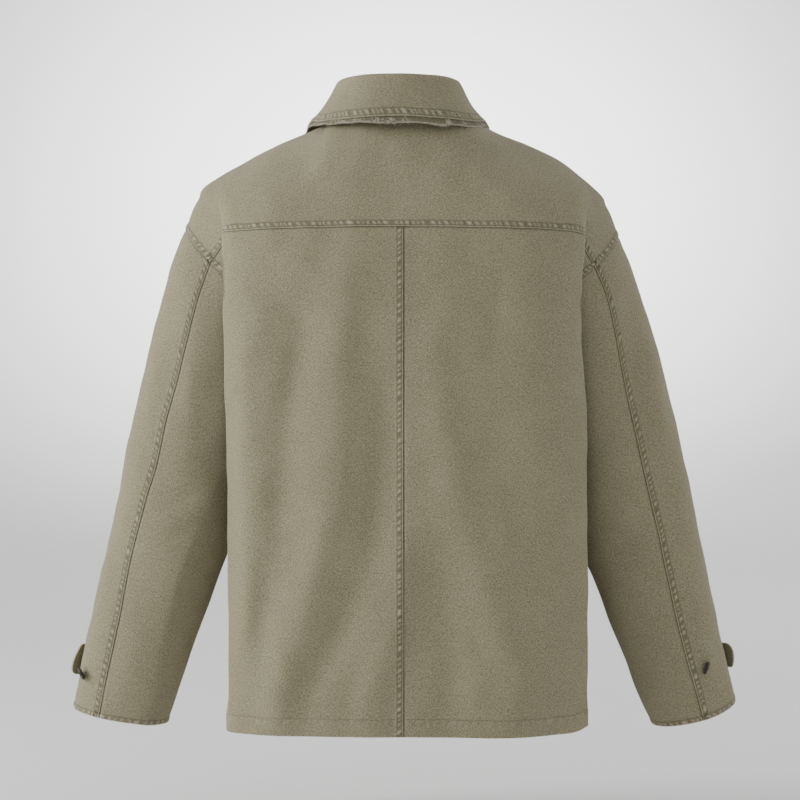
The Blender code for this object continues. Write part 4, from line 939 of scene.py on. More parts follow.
CHEST_RUN = 0.17
front_row = level_row(-1, -0.45, True)
front_shares = even(np.array([0.0, NECK_SHARE, 1.0, 2.0]), front_row, WIDE_SPACING,
                    [fold_zone(front_row), (-0.0095, 0.0)])
front_heights = even(np.array([HEM_Z, ARMPIT_Z]), straight(1.0), FRONT_SPACING, [HEM_ZONE])
front_places = even(np.array([3.0, 4.0]), straight(CHEST_RUN), FRONT_SPACING, [(0.0, 0.0042)])[::-1]
front_seams = []
for side, word in SIDES:
    form = front_form(side, front_shares, front_heights[:-1], front_places)
    placket_x = np.concatenate([np.arange(-PLACKET, -PLACKET + PLACKET_EDGE, PLACKET_FINE),
                                np.arange(-PLACKET + PLACKET_EDGE, CENTRE_GAP - 0.0008, FRONT_SPACING)])
    placket = np.repeat(form[:, :1], len(placket_x), axis=1)
    placket[..., 0] = placket_x
    form = settle(np.concatenate([placket, form], axis=1), side)
    shares = np.concatenate([0 * placket_x, front_shares])
    form[..., 1] += fold_relief(form, FRONT_FOLDS) * (1 - ease(shares, 0.9, 1.0))
    form[..., 1] -= side * PLACKET_LIFT * (1 - ease(form[..., 0] * side, PLACKET + 0.003, 0.050))
    panel = Panel(form, form * (1, 1, 0), soft=ease(form[..., 0] * side, PLACKET, 0.045))
    panel.lay_folds(FRONT_CREASES, facing=1)
    below = np.arange(len(form)) < len(front_heights) - 1
    panel.sew_over("start", seed=21 + side, rows=PLACKET_ROWS[:1], lap=0.0002, height=0.00012)
    panel.sew_over("end", seed=24 + side, share=1.0 - below[:, None])
    panel.sink_under("end", seed=2 + side, share=1.0 * below[:, None])
    panel.sink_under("top", seed=16)
    panel.sew_over("low", seed=27 + side, rows=HEM_ROW, lap=0.0003, height=0.00022, lean=0.1, wear_and_light_weight=0.3)
    front_seams += [panel.line_at("start", depth, 0.0, 0.93) for depth in PLACKET_ROWS]
    front_seams += [panel.line_at("end", depth, np.mean(below)) for depth in STITCH_ROWS]
    front_seams += [panel.line_at("low", HEM_ROW[0])]
    panel.tuck("top")
    wall = WALL + (HEM_WALL - WALL) * (panel.depth("low") < HEM_DEPTH)
    cloth_piece(panel, f"front_{word}_cloth", wall, TWILL, [f"front_{word}"])
sew("front_stitches", front_seams, SEAM_THREAD)

# ---------------------------------------------------------------- sleeves
# Each sleeve is a top piece and an under piece of the same twill. The top piece is felled over the under piece
# along the back and the front, both go under the body at the armhole, and the cuff is turned in and stitched
# in a narrow puckered hem. Rings down the sleeve between its outer and inner edge give the form.
SLEEVE_LEFT = [
    # place, outer_x, outer_z, inner_x, inner_z, seam
    (1.0, 0.2610, -0.1539, 0.1505, -0.2907, 0.295),
    (2.0, 0.2747, -0.1995, 0.1585, -0.3124, 0.305),
    (3.0, 0.2895, -0.2565, 0.1664, -0.3488, 0.305),
    (4.0, 0.3021, -0.3135, 0.1778, -0.3853, 0.290),
    (5.0, 0.3146, -0.3705, 0.1858, -0.4309, 0.285),
    (6.0, 0.3260, -0.4275, 0.1961, -0.4742, 0.255),
    (7.0, 0.3374, -0.4845, 0.2120, -0.5210, 0.240),
    (8.0, 0.3511, -0.5415, 0.2314, -0.5711, 0.275),
    (9.0, 0.3625, -0.5928, 0.2474, -0.6156, 0.283),
    (10.0, 0.3716, -0.6384, 0.2610, -0.6566, 0.293),
    (11.0, 0.3762, -0.6635, 0.2690, -0.6794, 0.300),
]
SLEEVE_RIGHT = [
    # place, outer_x, outer_z, inner_x, inner_z, seam
    (1.0, 0.2577, -0.1560, 0.1505, -0.2970, 0.280),
    (2.0, 0.2725, -0.1995, 0.1585, -0.3192, 0.305),
    (3.0, 0.2896, -0.2565, 0.1665, -0.3545, 0.340),
    (4.0, 0.3033, -0.3135, 0.1779, -0.3899, 0.352),
    (5.0, 0.3169, -0.3705, 0.1870, -0.4355, 0.356),
    (6.0, 0.3295, -0.4275, 0.1984, -0.4788, 0.354),
    (7.0, 0.3409, -0.4845, 0.2189, -0.5210, 0.378),
    (8.0, 0.3534, -0.5415, 0.2360, -0.5689, 0.395),
    (9.0, 0.3648, -0.5928, 0.2565, -0.6156, 0.410),
    (10.0, 0.3739, -0.6304, 0.2713, -0.6555, 0.403),
    (11.0, 0.3796, -0.6555, 0.2850, -0.6829, 0.420),
]
SLEEVE_DEPTH = [(0.0, 0.058, 0.0), (1.0, 0.056, 0.0), (3.0, 0.055, 0.0), (5.0, 0.051, 0.001),
                (7.0, 0.046, 0.004), (9.0, 0.041, 0.008), (11.0, 0.036, 0.010)]
CUFF_DIP = {-1: (0.005, 0.0), 1: (0.0085, 0.3)}
FRONT_SLEEVE_SEAM = 3.5


def sleeve_form(side, places_round, places_down):
    """Sleeve surface: ovals between the two edges, and each lengthwise line is a smooth curve through them."""
    table = np.array(SLEEVE_RIGHT if side > 0 else SLEEVE_LEFT)
    rings = [settle(armhole(places_round), side)]
    dip, dip_lean = CUFF_DIP[side]
    for place, outer_x, outer_z, inner_x, inner_z, seam in table:
        half_depth, forward = through(SLEEVE_DEPTH, place)
        seam_turn = np.arccos(1 - 2 * seam)
        turns = [(0, -np.pi), (1, -seam_turn), (2, 0), (3, 0.30 * np.pi), (3.5, 0.62 * np.pi), (4, np.pi)]
        turn = through(turns, places_round)[:, 0]
        across = (1 - np.cos(turn)) / 2
        hang = dip * ease(place, 6, 11) * np.sin(turn) * (1 + dip_lean * np.cos(turn))
        ring = stack(outer_x + (inner_x - outer_x) * across, forward + half_depth * np.sin(turn),
                     outer_z + (inner_z - outer_z) * across + hang)
        rings.append(ring * (side, 1, 1))
    knots = np.concatenate([[0], table[:, 0]])
    flat = np.column_stack([knots, np.array(rings).reshape(len(knots), -1)])
    return through(flat, places_down).reshape(len(places_down), len(places_round), 3)


CUFF_DEPTH = 0.007
CUFF_ROW = (0.0056,)
SLEEVE_CREASES = {
    "left": [
        ("outer ridge", "turn", -0.0016, 0.012,
         [(-0.302, -0.420), (-0.2965, -0.3786), (-0.285, -0.300), (-0.270, -0.210)]),
        ("elbow facet", "facet", 0.0060, 0.020,
         [(-0.3150, -0.8000), (-0.3000, -0.7300), (-0.2808, -0.6324), (-0.2660, -0.5600), (-0.2480, -0.4950),
          (-0.2200, -0.4350), (-0.1950, -0.3950)]),
        ("inner swell", "ridge", 0.0045, 0.024, [(-0.170, -0.250), (-0.180, -0.340), (-0.190, -0.430)]),
        ("elbow pull", "ridge", 0.0022, 0.012, [(-0.203, -0.400), (-0.240, -0.440), (-0.285, -0.462)]),
        ("upper dent", "ridge", -0.0016, 0.012, [(-0.210, -0.225), (-0.212, -0.265), (-0.205, -0.330)]),
        ("upper ridge", "ridge", 0.0014, 0.010, [(-0.236, -0.240), (-0.240, -0.300), (-0.232, -0.370)]),
        ("lower dent", "ridge", -0.0014, 0.012, [(-0.318, -0.520), (-0.322, -0.580), (-0.334, -0.640)]),
    ],
    "right": [
        ("outer ridge", "ridge", 0.0026, 0.011, [(0.262, -0.200), (0.283, -0.290), (0.292, -0.370)]),
        ("upper trough", "ridge", -0.0028, 0.012, [(0.246, -0.225), (0.262, -0.300), (0.266, -0.380)]),
        ("elbow ridge", "ridge", 0.0022, 0.012, [(0.228, -0.430), (0.262, -0.462), (0.302, -0.470)]),
        ("elbow trough", "ridge", -0.0020, 0.012, [(0.236, -0.462), (0.270, -0.500), (0.312, -0.512)]),
        ("long ridge", "ridge", 0.0036, 0.017,
         [(0.262, -0.240), (0.286, -0.330), (0.312, -0.430), (0.332, -0.540), (0.345, -0.640)]),
        ("cuff crease", "facet", 0.0034, 0.010,
         [(0.316, -0.480), (0.326, -0.540), (0.335, -0.595), (0.338, -0.660)]),
        ("button crease", "ridge", 0.0016, 0.008, [(0.352, -0.590), (0.340, -0.615), (0.318, -0.640)]),
    ],
}
SLEEVE_FRONT_CREASES = {
    "left": [
        ("elbow pull", "ridge", 0.0024, 0.012, [(-0.203, -0.430), (-0.245, -0.452), (-0.300, -0.448)]),
        ("elbow trough", "ridge", -0.0022, 0.012, [(-0.210, -0.468), (-0.252, -0.486), (-0.305, -0.480)]),
        ("upper ridge", "ridge", 0.0016, 0.012, [(-0.215, -0.250), (-0.240, -0.310), (-0.245, -0.390)]),
        ("lower turn", "turn", -0.0022, 0.014, [(-0.330, -0.650), (-0.312, -0.580), (-0.290, -0.510)]),
    ],
    "right": [
        ("elbow pull", "ridge", 0.0022, 0.012, [(0.203, -0.440), (0.245, -0.456), (0.300, -0.440)]),
        ("elbow trough", "ridge", -0.0022, 0.012, [(0.212, -0.476), (0.254, -0.492), (0.306, -0.474)]),
        ("upper ridge", "ridge", 0.0016, 0.012, [(0.214, -0.260), (0.242, -0.320), (0.250, -0.400)]),
        ("lower ridge", "ridge", 0.0017, 0.010, [(0.286, -0.510), (0.308, -0.580), (0.326, -0.650)]),
    ],
}

outer_edge = np.array([2.0])
sleeve_down = even(np.array([0.0, 10.0, 11.0]), lambda places: sleeve_form(-1, outer_edge, places)[:, 0],
                   SPACING, [(0.0, 0.0042), (-0.0065, 0.0)])
sleeve_seams = []
for side, word in SIDES:
    def ring_at(places):
        """Ring of the sleeve a third of the way down, for spacing the places evenly."""
        return sleeve_form(side, places, np.array([4.0]))[0]

    top_places = even(np.array([1.0, 2.0, 3.0, FRONT_SLEEVE_SEAM]), ring_at, WIDE_SPACING,
                      [(0.0, 0.012), (-0.012, 0.0)])
    under_front = even(np.array([FRONT_SLEEVE_SEAM, 4.0]), ring_at, WIDE_SPACING, [(0.0, 0.005)])
    under_back = even(np.array([0.0, 1.0]), ring_at, WIDE_SPACING, [(-0.005, 0.0)])[1:]
    for part_name, places in (("top", top_places), ("under", np.concatenate([under_front, under_back]))):
        form = sleeve_form(side, places, sleeve_down)
        middle = sleeve_form(side, np.linspace(0, 4, 33)[:-1], sleeve_down).mean(axis=1)[:, None]
        panel = Panel(form, form - middle)
        panel.lay_folds(SLEEVE_CREASES[word], facing=-1)
        panel.lay_folds(SLEEVE_FRONT_CREASES[word], facing=1)
        panel.sink_under("low", seed=31 + side)
        panel.sew_over("top", seed=34 + side, rows=CUFF_ROW, lap=0.0005, height=0.0006, lean=0.3)
        sleeve_seams.append(panel.line_at("top", CUFF_ROW[0]))
        if part_name == "top":
            panel.sew_over("start", seed=37 + side, height=1.15 * PUCKER_HEIGHT)
            panel.sew_over("end", seed=40 + side)
            sleeve_seams += [panel.line_at(edge, depth) for edge in ("start", "end") for depth in STITCH_ROWS]
        else:
            panel.sink_under("start", seed=40 + side)
            panel.sink_under("end", seed=37 + side)
            panel.tuck("start")
            panel.tuck("end")
        panel.tuck("low")
        wall = WALL + (HEM_WALL - WALL) * (panel.depth("top") < CUFF_DEPTH)
        cloth_piece(panel, f"sleeve_{part_name}_{word}_cloth", wall, TWILL, [f"sleeve_{part_name}_{word}"])
sew("sleeve_stitches", sleeve_seams, SEAM_THREAD)

# ---------------------------------------------------------------- collar
# A stand rises from the neck seam and a pointed leaf turns over it and falls on the yoke, both of the same
# twill. The leaf's edge has two stitch rows. Beneath it shows a raw strip, frayed along its bottom. Lines of
# the collar go by share of the way round from the centre back (0) to the centre front (1).
STAND_TOP = [
    # share, x,     y,      z
    (0.00, 0.0000, -0.0770,  0.0440),
    (0.22, 0.0440, -0.0625,  0.0434),
    (0.32, 0.0565, -0.0470,  0.0426),
    (0.42, 0.0635, -0.0270,  0.0414),
    (0.58, 0.0655,  0.0060,  0.0290),
    (0.80, 0.0450,  0.0420, -0.0120),
    (1.00, 0.0040,  0.0620, -0.0480),
]
LEAF_EDGE = [
    (0.00, 0.0000, -0.0955,  0.0008),
    (0.22, 0.0560, -0.0850, -0.0010),
    (0.38, 0.0885, -0.0500, -0.0015),
    (0.50, 0.0985, -0.0100,  0.0034),
    (0.62, 0.1065,  0.0345, -0.0060),
    (0.80, 0.1040,  0.0880, -0.0660),
    (1.00, 0.0800,  0.1240, -0.1310),
]
COLLAR_SHIFT = -0.0055
LEAF_TURN = [(-0.0013, 0.0011), (-0.0011, 0.0034), (0.0017, 0.0052), (0.0055, 0.0043), (0.0074, 0.0012)]
LEAF_BOW = [(0.0, -0.004), (0.35, -0.014), (0.50, -0.008), (0.62, 0.020), (0.80, 0.030), (1.0, 0.020)]


def collar_line(table, shares):
    """A line of the collar at the given shares of the way round."""
    place, x, y, z = table[1]
    points = through([(-place, -x, y, z)] + table, np.abs(shares))
    points[:, 0] *= np.sign(shares)
    points[:, 0] += COLLAR_SHIFT * (1 - ease(np.abs(shares), 0.55, 1.0))
    return points


def leaf_form(shares, steps):
    """Collar leaf: from the stand's top (step 0) it turns over outwards and falls to its edge (step 1)."""
    top = collar_line(STAND_TOP, shares)
    edge = collar_line(LEAF_EDGE, shares)
    along = np.gradient(top, axis=0)
    out = direction(stack(along[:, 1], -along[:, 0], 0 * shares))
    up = direction(np.cross(along, out) * -1)
    up = up * np.sign(up[:, 2:3])
    turn = [top + out * away + up * rise for away, rise in LEAF_TURN]
    drop = edge - turn[-1]
    lift = through(LEAF_BOW, np.abs(shares)) * (0, 0.3, 1.0)
    fall = [blend_ends(turn[-1], edge, drop + lift, drop - lift, t) for t in np.linspace(0, 1, 6)[1:]]
    rows = np.array(turn + fall)
    run = np.concatenate([[0], np.cumsum(length(np.diff(rows, axis=0)).mean(axis=1)[:, 0])])
    flat = np.column_stack([run / run[-1], rows.reshape(len(rows), -1)])
    return through(flat, steps).reshape(len(steps), len(shares), 3)


RAW_STRIP_UNDER = 0.011
RAW_STRIP_WALL = 0.0010
LAYER_GAP = 0.0003
LEAF_ROWS = (0.0018, 0.0092)
LEAF_SPACING = 0.0019
STAND_LINES = 20
STRIP_LINES = 22

leaf_shares = even(np.array([-1.0, 0.0, 1.0]), lambda shares: collar_line(LEAF_EDGE, shares), LEAF_SPACING)
centre_back = np.linspace(-0.02, 0.02, 3)
leaf_steps = even(np.array([0.0, 1.0]), lambda steps: leaf_form(centre_back, steps)[:, 1], SPACING,
                  [(-0.011, 0.0)])
leaf = leaf_form(leaf_shares, leaf_steps)
neck_middle = np.array((COLLAR_SHIFT, -0.005, 0.0))
panel = Panel(leaf, (leaf - neck_middle) * (1, 1, 0.2), soft=ease(leaf_steps, 0.0, 0.3)[:, None])
under = panel.base - panel.out * (WALL + 3 * LAYER_GAP)
leaf_out = panel.out
panel.sew_over("top", seed=51, rows=LEAF_ROWS, lap=0.0003)
for edge, seed in (("start", 52), ("end", 53)):
    panel.sew_over(edge, seed=seed, rows=LEAF_ROWS[1:], lap=0.0002, height=0.0003)
collar_seams = [panel.line_at("top", depth, 0.008, 0.992) for depth in LEAF_ROWS]
collar_seams += [panel.line_at(edge, LEAF_ROWS[1], 0.12, 0.95) for edge in ("start", "end")]
cloth_piece(panel, "collar_leaf_cloth", WALL, TWILL, ["collar_leaf"])

halves = []
for side, word in SIDES:
    neck = half_shares[half_shares < NECK_SHARE - 1e-9]
    front_neck = settle(front_seam_row(neck), side)
    shoulder_end = over_shoulder_form(side, outer_shares[:2], over_places[::-1])[:, 0]
    back_neck = settle(shoulder_row(neck), side)[::-1]
    halves.append(np.concatenate([front_neck, shoulder_end, back_neck]))
neck_seam = np.concatenate([halves[0], halves[1][::-1][1:]])
neck_run = runs(neck_seam, 0)
neck_shares = neck_run / neck_run[-1] * 2 - 1
stand_rise = np.linspace(0, 1, STAND_LINES)[:, None, None]
stand = neck_seam + (collar_line(STAND_TOP, neck_shares) - neck_seam) * stand_rise
panel = Panel(stand, (stand - neck_middle) * (1, 1, 0), soft=0.4)
panel.sew_over("low", seed=55, rows=(0.0020,), lap=0.0, height=0.0002)
collar_seams.append(panel.line_at("low", 0.0020))
cloth_piece(panel, "collar_stand_cloth", WALL, TWILL, ["collar_stand"])
sew("collar_stitches", collar_seams, SEAM_THREAD)

# Its palest colour is for the frayed edge's paler threads, its darkest for painted shade and the strip's darker
# tone.
RAW_TWILL = twill_finish("raw_twill", pale=(0.330, 0.300, 0.192), deep=(0.148, 0.134, 0.080),
                         worn_and_highlit=(0.50, 0.465, 0.36), painted_shade=(0.072, 0.064, 0.038))
FRAY = thread_finish("frayed_thread", (0.46, 0.42, 0.335))

# How far the strip shows below the leaf's edge, by x behind the neck
RAW_EDGE = [(-0.110, 0.0045), (-0.096, 0.0046), (-0.088, 0.0030), (-0.076, 0.0058), (-0.069, 0.0040),
            (-0.058, 0.0052), (-0.048, 0.0045), (-0.035, 0.0070), (-0.016, 0.0082), (0.004, 0.0072),
            (0.026, 0.0072), (0.044, 0.0088), (0.053, 0.0070), (0.068, 0.0070), (0.082, 0.0062),
            (0.092, 0.0048)]
STRIP_END = 0.0025
STRIP_END_FADE = (0.55, 0.80)

down = direction(under[-1] - under[-3])
below = through(RAW_EDGE, under[-1][:, 0])
below = below + (STRIP_END - below) * ease(np.abs(leaf_shares), *STRIP_END_FADE)[:, None]
edge_way = np.linspace(0, 0.75, len(leaf_shares))
wander = 0.0005 * uneven_beat(edge_way, 61, pitch=0.013) + 0.0004 * uneven_beat(edge_way, 64, pitch=0.0042)
below = below + wander[:, None]
strip_steps = np.linspace(0, 1, STRIP_LINES)[:, None, None]
strip = under[-1] + down * (RAW_STRIP_UNDER * (strip_steps - 1) + below * strip_steps)
panel = Panel(strip, np.repeat(leaf_out[-1:], len(strip), axis=0), soft=0.0)
strip_wave = uneven_beat(panel.along("top") + 0.3 * panel.depth("top"), 62)
panel.push += 0.0004 * strip_wave * np.exp(-(panel.depth("top") / 0.006) ** 2)
# The frayed edge is coloured paler in uneven patches, and the whole strip is coloured darker.
pale = 0.50 + 0.40 * uneven_beat(panel.along("top"), 65, pitch=0.0027)
panel.wear_and_painted_light += pale * np.exp(-(panel.depth("top") / 0.0009) ** 2) - 0.45
edge_points, edge_out = panel.line_at("top", 0.0004)
cloth_piece(panel, "collar_raw_strip_cloth", RAW_STRIP_WALL, RAW_TWILL, ["collar_raw_strip"])

# Frayed threads: short ones stand out of the strip's edge, and long loose ones lie along it in soft waves
SHORT_THREADS = 1100
LONG_THREADS = 150
# Bunches of long threads that cross the strip: x of the bunch, its spread, and how many threads
BUNCHES = [(-0.0760, 0.0030, 12), (-0.0560, 0.0045, 14), (-0.0300, 0.0030, 16), (-0.0160, 0.0030, 12),
           (0.0010, 0.0020, 6), (0.0505, 0.0009, 22), (0.0700, 0.0030, 10), (0.0880, 0.0030, 10)]


def threads(starts, aheads, sides, outs, longs, bends, thick):
    """Loose threads: each runs ahead from its start for its length, and bends out with the square of the way
    along, and sideways with that and one wave. Seven rings of three corners, finer at the ends."""
    way = np.linspace(0, 1, 7)[:, None]
    bow, wave, lift = np.moveaxis(bends, 1, 0)[..., None, None]
    spine = (starts[:, None] + aheads[:, None] * longs[:, None, None] * way
             + sides[:, None] * (bow * way ** 2 + wave * np.sin(6.3 * way) / 3)
             + outs[:, None] * (lift * way ** 2))
    ahead = direction(np.gradient(spine, axis=1))
    side = direction(np.cross(ahead, outs[:, None] + 0.01))
    up = np.cross(side, ahead)
    turn = np.arange(3) * 2 * np.pi / 3
    round_by = thick[:, None, None] * np.array([0.4, 1, 1, 1, 1, 0.8, 0.15])[:, None]
    points = (spine[:, :, None] + side[:, :, None] * (round_by * np.cos(turn))[..., None]
              + up[:, :, None] * (round_by * np.sin(turn))[..., None])
    faces = np.arange(len(starts))[:, None, None] * 21 + closed_faces(7, 3)
    return points.reshape(-1, 3), faces.reshape(-1, 4)


draw = np.random.default_rng(63)
edge_run = runs(edge_points, 0)


def along_edge(places):
    """Points, directions on and directions out at lengths along the strip's edge."""
    point, out, later = [np.stack([np.interp(at, edge_run, values[:, axis]) for axis in range(3)], axis=-1)
                         for at, values in ((places, edge_points), (places, edge_out),
                                            (places + 0.002, edge_points))]
    return point, direction(later - point), out


def fall_of(on, out):
    """Direction down the strip's face, square to its edge."""
    fall = direction(np.cross(on, out))
    return fall * -np.sign(fall[:, 2:])


places = draw.uniform(0.004, edge_run[-1] - 0.004, SHORT_THREADS)
point, on, out = along_edge(places)
fall = fall_of(on, out)
ahead = fall * draw.choice([1.0, -0.6], (SHORT_THREADS, 1), p=[0.86, 0.14])
ahead = ahead + on * draw.normal(0, 1.0, (SHORT_THREADS, 1))
ahead += out * draw.uniform(0.0, 0.4, (SHORT_THREADS, 1))
bends = draw.normal(0, (0.0008, 0.0003, 0.0004), (SHORT_THREADS, 3))
longs = 0.0008 + draw.gamma(2.2, 0.00075, SHORT_THREADS)
short = threads(point - fall * 0.0008, direction(ahead), on, out, longs, bends,
                draw.uniform(0.00015, 0.00030, SHORT_THREADS))

places = draw.uniform(0.004, edge_run[-1] - 0.030, LONG_THREADS)
point, on, out = along_edge(places)
fall = fall_of(on, out)
later = along_edge(places + draw.uniform(0.006, 0.022, LONG_THREADS))[0]
bends = draw.normal(0, (0.0003, 0.0010, 0.0002), (LONG_THREADS, 3))
start = point + fall * draw.uniform(-0.0008, 0.0006, (LONG_THREADS, 1)) + out * 0.0003
along = threads(start, direction(later - point), fall, out, length(later - point)[:, 0], bends,
                draw.uniform(0.00018, 0.00034, LONG_THREADS))

bunch = np.repeat(np.array(BUNCHES), [row[2] for row in BUNCHES], axis=0)
behind = edge_points[:, 1] < 0
places = np.interp(draw.normal(bunch[:, 0], bunch[:, 1]), edge_points[behind, 0], edge_run[behind])
point, on, out = along_edge(places)
fall = fall_of(on, out)
count = len(bunch)
high = draw.uniform(0.002, 0.008, (count, 1))
ahead = fall * draw.uniform(0.3, 1.0, (count, 1))
ahead = ahead + on * draw.normal(0.5, 0.6, (count, 1)) * bunch[:, 1:2] / 0.003
bends = draw.normal(0, (0.0010, 0.0006, 0.0003), (count, 3))
crossing = threads(point - fall * high + out * 0.0003, direction(ahead), on, out, high[:, 0] + 0.001, bends,
                   draw.uniform(0.00018, 0.00034, count))
points = np.concatenate([short[0], along[0], crossing[0]])
faces = [short[1], along[1] + len(short[0]), crossing[1] + len(short[0]) + len(along[0])]
mesh_of("collar_frayed_threads", points, np.concatenate(faces), FRAY)

# ---------------------------------------------------------------- cuff tabs
# A doubled strip of the same twill on the front outer side of each cuff. It is sewn in at the front sleeve
# seam, lies on the sleeve as far as its button, and its rounded end stands off the sleeve's outer edge.
TAB_WIDTH = 0.037
TAB_WALL = 0.0022
TAB_PLACE = 9.40
TAB_RUN = 0.051
TAB_STARTS = 3.48
TAB_LEAVES = 2.62
TAB_LIFT = 0.0004
TAB_LOOSE_END = 0.015
TAB_ROUND = 0.0082
TAB_SKEW = 0.5
TAB_ROW = 0.0030
TAB_BACK_STEP = (TAB_STARTS - TAB_LEAVES) / 7

tab_widths = np.sin(np.linspace(-1, 1, 45) * np.pi / 2)
tab_seams = []
for side, word in SIDES:
    down_places = TAB_PLACE + TAB_WIDTH / 2 / TAB_RUN * tab_widths
    round_places = np.concatenate([np.linspace(TAB_STARTS, TAB_LEAVES, 56), [TAB_LEAVES + TAB_BACK_STEP]])
    base = sleeve_form(side, round_places, down_places)
    centre = sleeve_form(side, np.linspace(0, 4, 17)[:-1], down_places).mean(axis=1)[:, None]
    out = normals_of(base[:, :-1], base[:, :-1] - centre)
    lifted = base[:, :-1] + out * (LAYER_GAP + TAB_WALL + TAB_LIFT)
    leave = direction(base[:, -2] - base[:, -1])[:, None]
    tip = TAB_LOOSE_END + TAB_ROUND * np.sqrt(1 - tab_widths ** 2) * (1 - side * TAB_SKEW * tab_widths)
    loose = lifted[:, -1:] + leave * np.linspace(0, 1, 22)[1:, None] * tip[:, None, None]
    form = np.concatenate([lifted, loose], axis=1)
    panel = Panel(form, np.concatenate([out, np.repeat(out[:, -1:], 21, axis=1)], axis=1), soft=0.3)
    for edge, seed in (("low", 71), ("top", 72), ("end", 73)):
        panel.sew_over(edge, seed=seed + side, rows=(TAB_ROW,), lap=0.0, height=0.00022)
    tab_seams += [panel.line_at("low", TAB_ROW, 0.0, 0.96), panel.line_at("top", TAB_ROW, 0.0, 0.96),
                  panel.line_at("end", TAB_ROW, 0.10, 0.90)]
    cloth_piece(panel, f"cuff_tab_{word}_cloth", TAB_WALL, TWILL, [f"cuff_tab_{word}"])
sew("tab_stitches", tab_seams, SEAM_THREAD)

# ---------------------------------------------------------------- buttons
# Dark sew-through buttons: a raised rim round a dished middle with four holes, sewn on with two thread bars.
# Six close the front, one fastens each cuff tab, and a spare one sits tipped on the sleeve beside each tab.
BUTTON_THICKNESS = 0.0030
BUTTON_PROFILE = [(0.0, 0.0), (0.86, 0.0), (0.95, 0.06), (1.0, 0.30), (1.0, 0.72), (0.97, 0.92), (0.90, 1.0),
                  (0.83, 0.98), (0.77, 0.88), (0.72, 0.82), (0.60, 0.78), (0.45, 0.75), (0.0, 0.74)]
HOLE_OFFSET = 0.21
HOLE_RADIUS = 0.115
HOLE_DEPTH = 0.0014
HORN_DARK = (0.006, 0.005, 0.004, 1.0)
HORN_BROWN = (0.034, 0.028, 0.020, 1.0)
BUTTON_CORNERS = 40
RIM_RINGS = 28
FACE_RINGS = 16


def horn_finish():
    """Dark polished horn: cloudy brown streaks under a satin gloss, with a finely worn surface."""
    finish = bpy.data.materials.new("dark_horn")
    finish.use_nodes = True
    tree = finish.node_tree
    shader = tree.nodes["Principled BSDF"]
    place = add_node(tree, "ShaderNodeTexCoord").outputs["Object"]
    streaks = add_node(tree, "ShaderNodeTexNoise", {"Vector": place, "Scale": 160.0, "Detail": 4.0,
                                                    "Distortion": 1.5}).outputs["Fac"]
    wear_and_light_weight = add_node(tree, "ShaderNodeTexNoise", {"Vector": place, "Scale": 900.0, "Detail": 2.0}).outputs["Fac"]
    colour = add_node(tree, "ShaderNodeMix", {"Factor": streaks, "A": HORN_DARK, "B": HORN_BROWN},
                      data_type="RGBA").outputs["Result"]
    tree.links.new(colour, shader.inputs["Base Color"])
    gloss = add_node(tree, "ShaderNodeMapRange", {"Value": wear_and_light_weight, "To Min": 0.34, "To Max": 0.54})
    tree.links.new(gloss.outputs["Result"], shader.inputs["Roughness"])
    shader.inputs["Specular IOR Level"].default_value = 0.30
    bump = add_node(tree, "ShaderNodeBump", {"Height": wear_and_light_weight, "Strength": 0.15, "Distance": 0.0001})
    tree.links.new(bump.outputs["Normal"], shader.inputs["Normal"])
    return finish


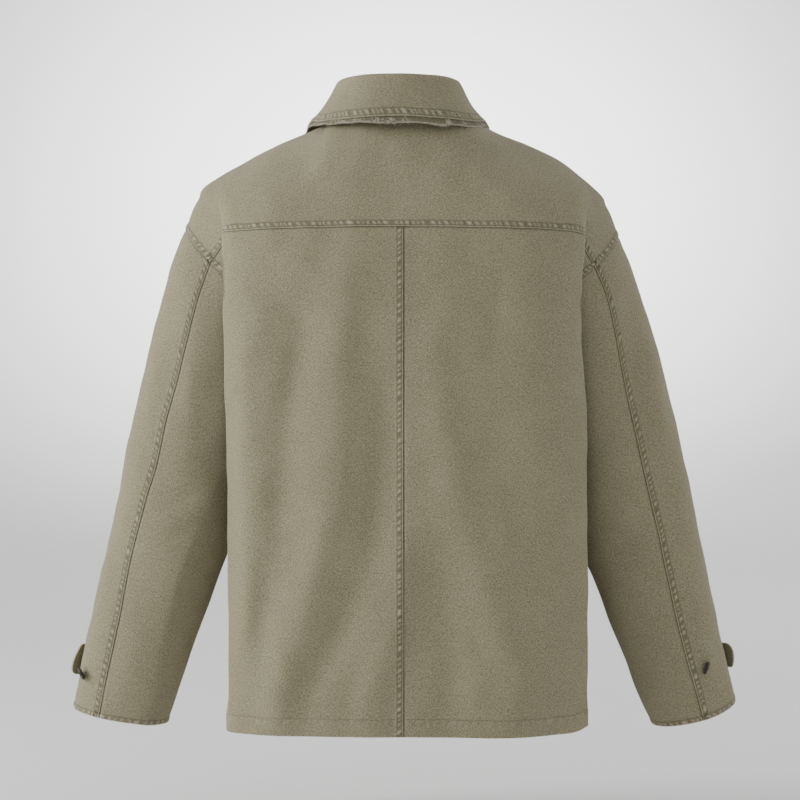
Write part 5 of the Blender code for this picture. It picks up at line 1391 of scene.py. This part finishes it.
def button(name, finish):
    """Button on its node's own place and tilt: the profile turned round its axis, finer towards the middle,
    with the face pressed in at four holes. Gives the thread bars between them, as lines and directions out."""
    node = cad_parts[name]
    corners = np.empty(len(node.data.vertices) * 3)
    node.data.vertices.foreach_get("co", corners)
    corners = corners.reshape(-1, 3)
    middle = (corners.min(0) + corners.max(0)) / 2
    middle = np.unique(corners.round(6), axis=0).mean(0) * 0.5 + middle * 0.5
    axes = np.linalg.svd(corners - middle, full_matrices=False)[2]
    normal = axes[2]
    facing = np.array((0.0, 1.0, 0.0)) if "front" in name else middle * (1, 0, 0)
    if "tab" in name:
        facing = np.array((middle[0] * 0.2, 1.0, 0.0))
    normal = normal * np.sign(normal @ facing)
    across = direction(np.cross(normal, (0.1, 0.2, 1.0)))
    up = np.cross(normal, across)
    flat = (corners - middle) @ np.stack([across, up, normal]).T
    radius = np.abs(flat[:, :2]).max()
    base = middle + normal * flat[:, 2].min()
    profile = np.array(BUTTON_PROFILE)
    knots = runs(profile * (1, 0.35), 0)
    fine = np.concatenate([np.linspace(knots[0], knots[-2], RIM_RINGS),
                           np.linspace(knots[-2], knots[-1], FACE_RINGS)[1:]])
    reach, rise = np.interp(fine, knots, profile[:, 0]), np.interp(fine, knots, profile[:, 1])
    reach = np.maximum(reach, 1e-4)
    turn = np.linspace(0, 2 * np.pi, BUTTON_CORNERS + 1)[:-1]
    x, y = np.outer(reach, np.cos(turn)), np.outer(reach, np.sin(turn))
    rise = np.repeat(rise[:, None], BUTTON_CORNERS, axis=1) * BUTTON_THICKNESS
    top = (fine > knots[5])[:, None]
    away = [np.hypot(x - HOLE_OFFSET * a, y - HOLE_OFFSET * b) for a in (-1, 1) for b in (-1, 1)]
    hole = sum(1 - ease(gap, HOLE_RADIUS * 0.6, HOLE_RADIUS * 1.2) for gap in away)
    rise = rise - HOLE_DEPTH * hole * top
    points = base + radius * (x[..., None] * across + y[..., None] * up) + rise[..., None] * normal
    faces = closed_faces(len(fine), BUTTON_CORNERS)
    piece = mesh_of(name + "_horn", points.reshape(-1, 3), faces, finish)
    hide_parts(name)
    seat = 0.80 * BUTTON_THICKNESS
    bars = []
    for a in (-1, 1):
        ends = [base + normal * seat + radius * HOLE_OFFSET * (a * across + b * up) for b in (-1.25, 1.25)]
        bars.append((np.array(ends), np.array([normal, normal])))
    return bars


horn = horn_finish()
BUTTONS = ([f"front_button_{number}" for number in range(1, 7)] + ["tab_button_left", "tab_button_right",
                                                                  "spare_button_left", "spare_button_right"])
thread_bars = [bar for name in BUTTONS for bar in button(name, horn)]
BUTTON_THREAD = thread_finish("button_thread", (0.05, 0.045, 0.032))
sew("button_thread_bars", thread_bars, BUTTON_THREAD, pitch=0.0044, long=0.0036, thick=0.0009)
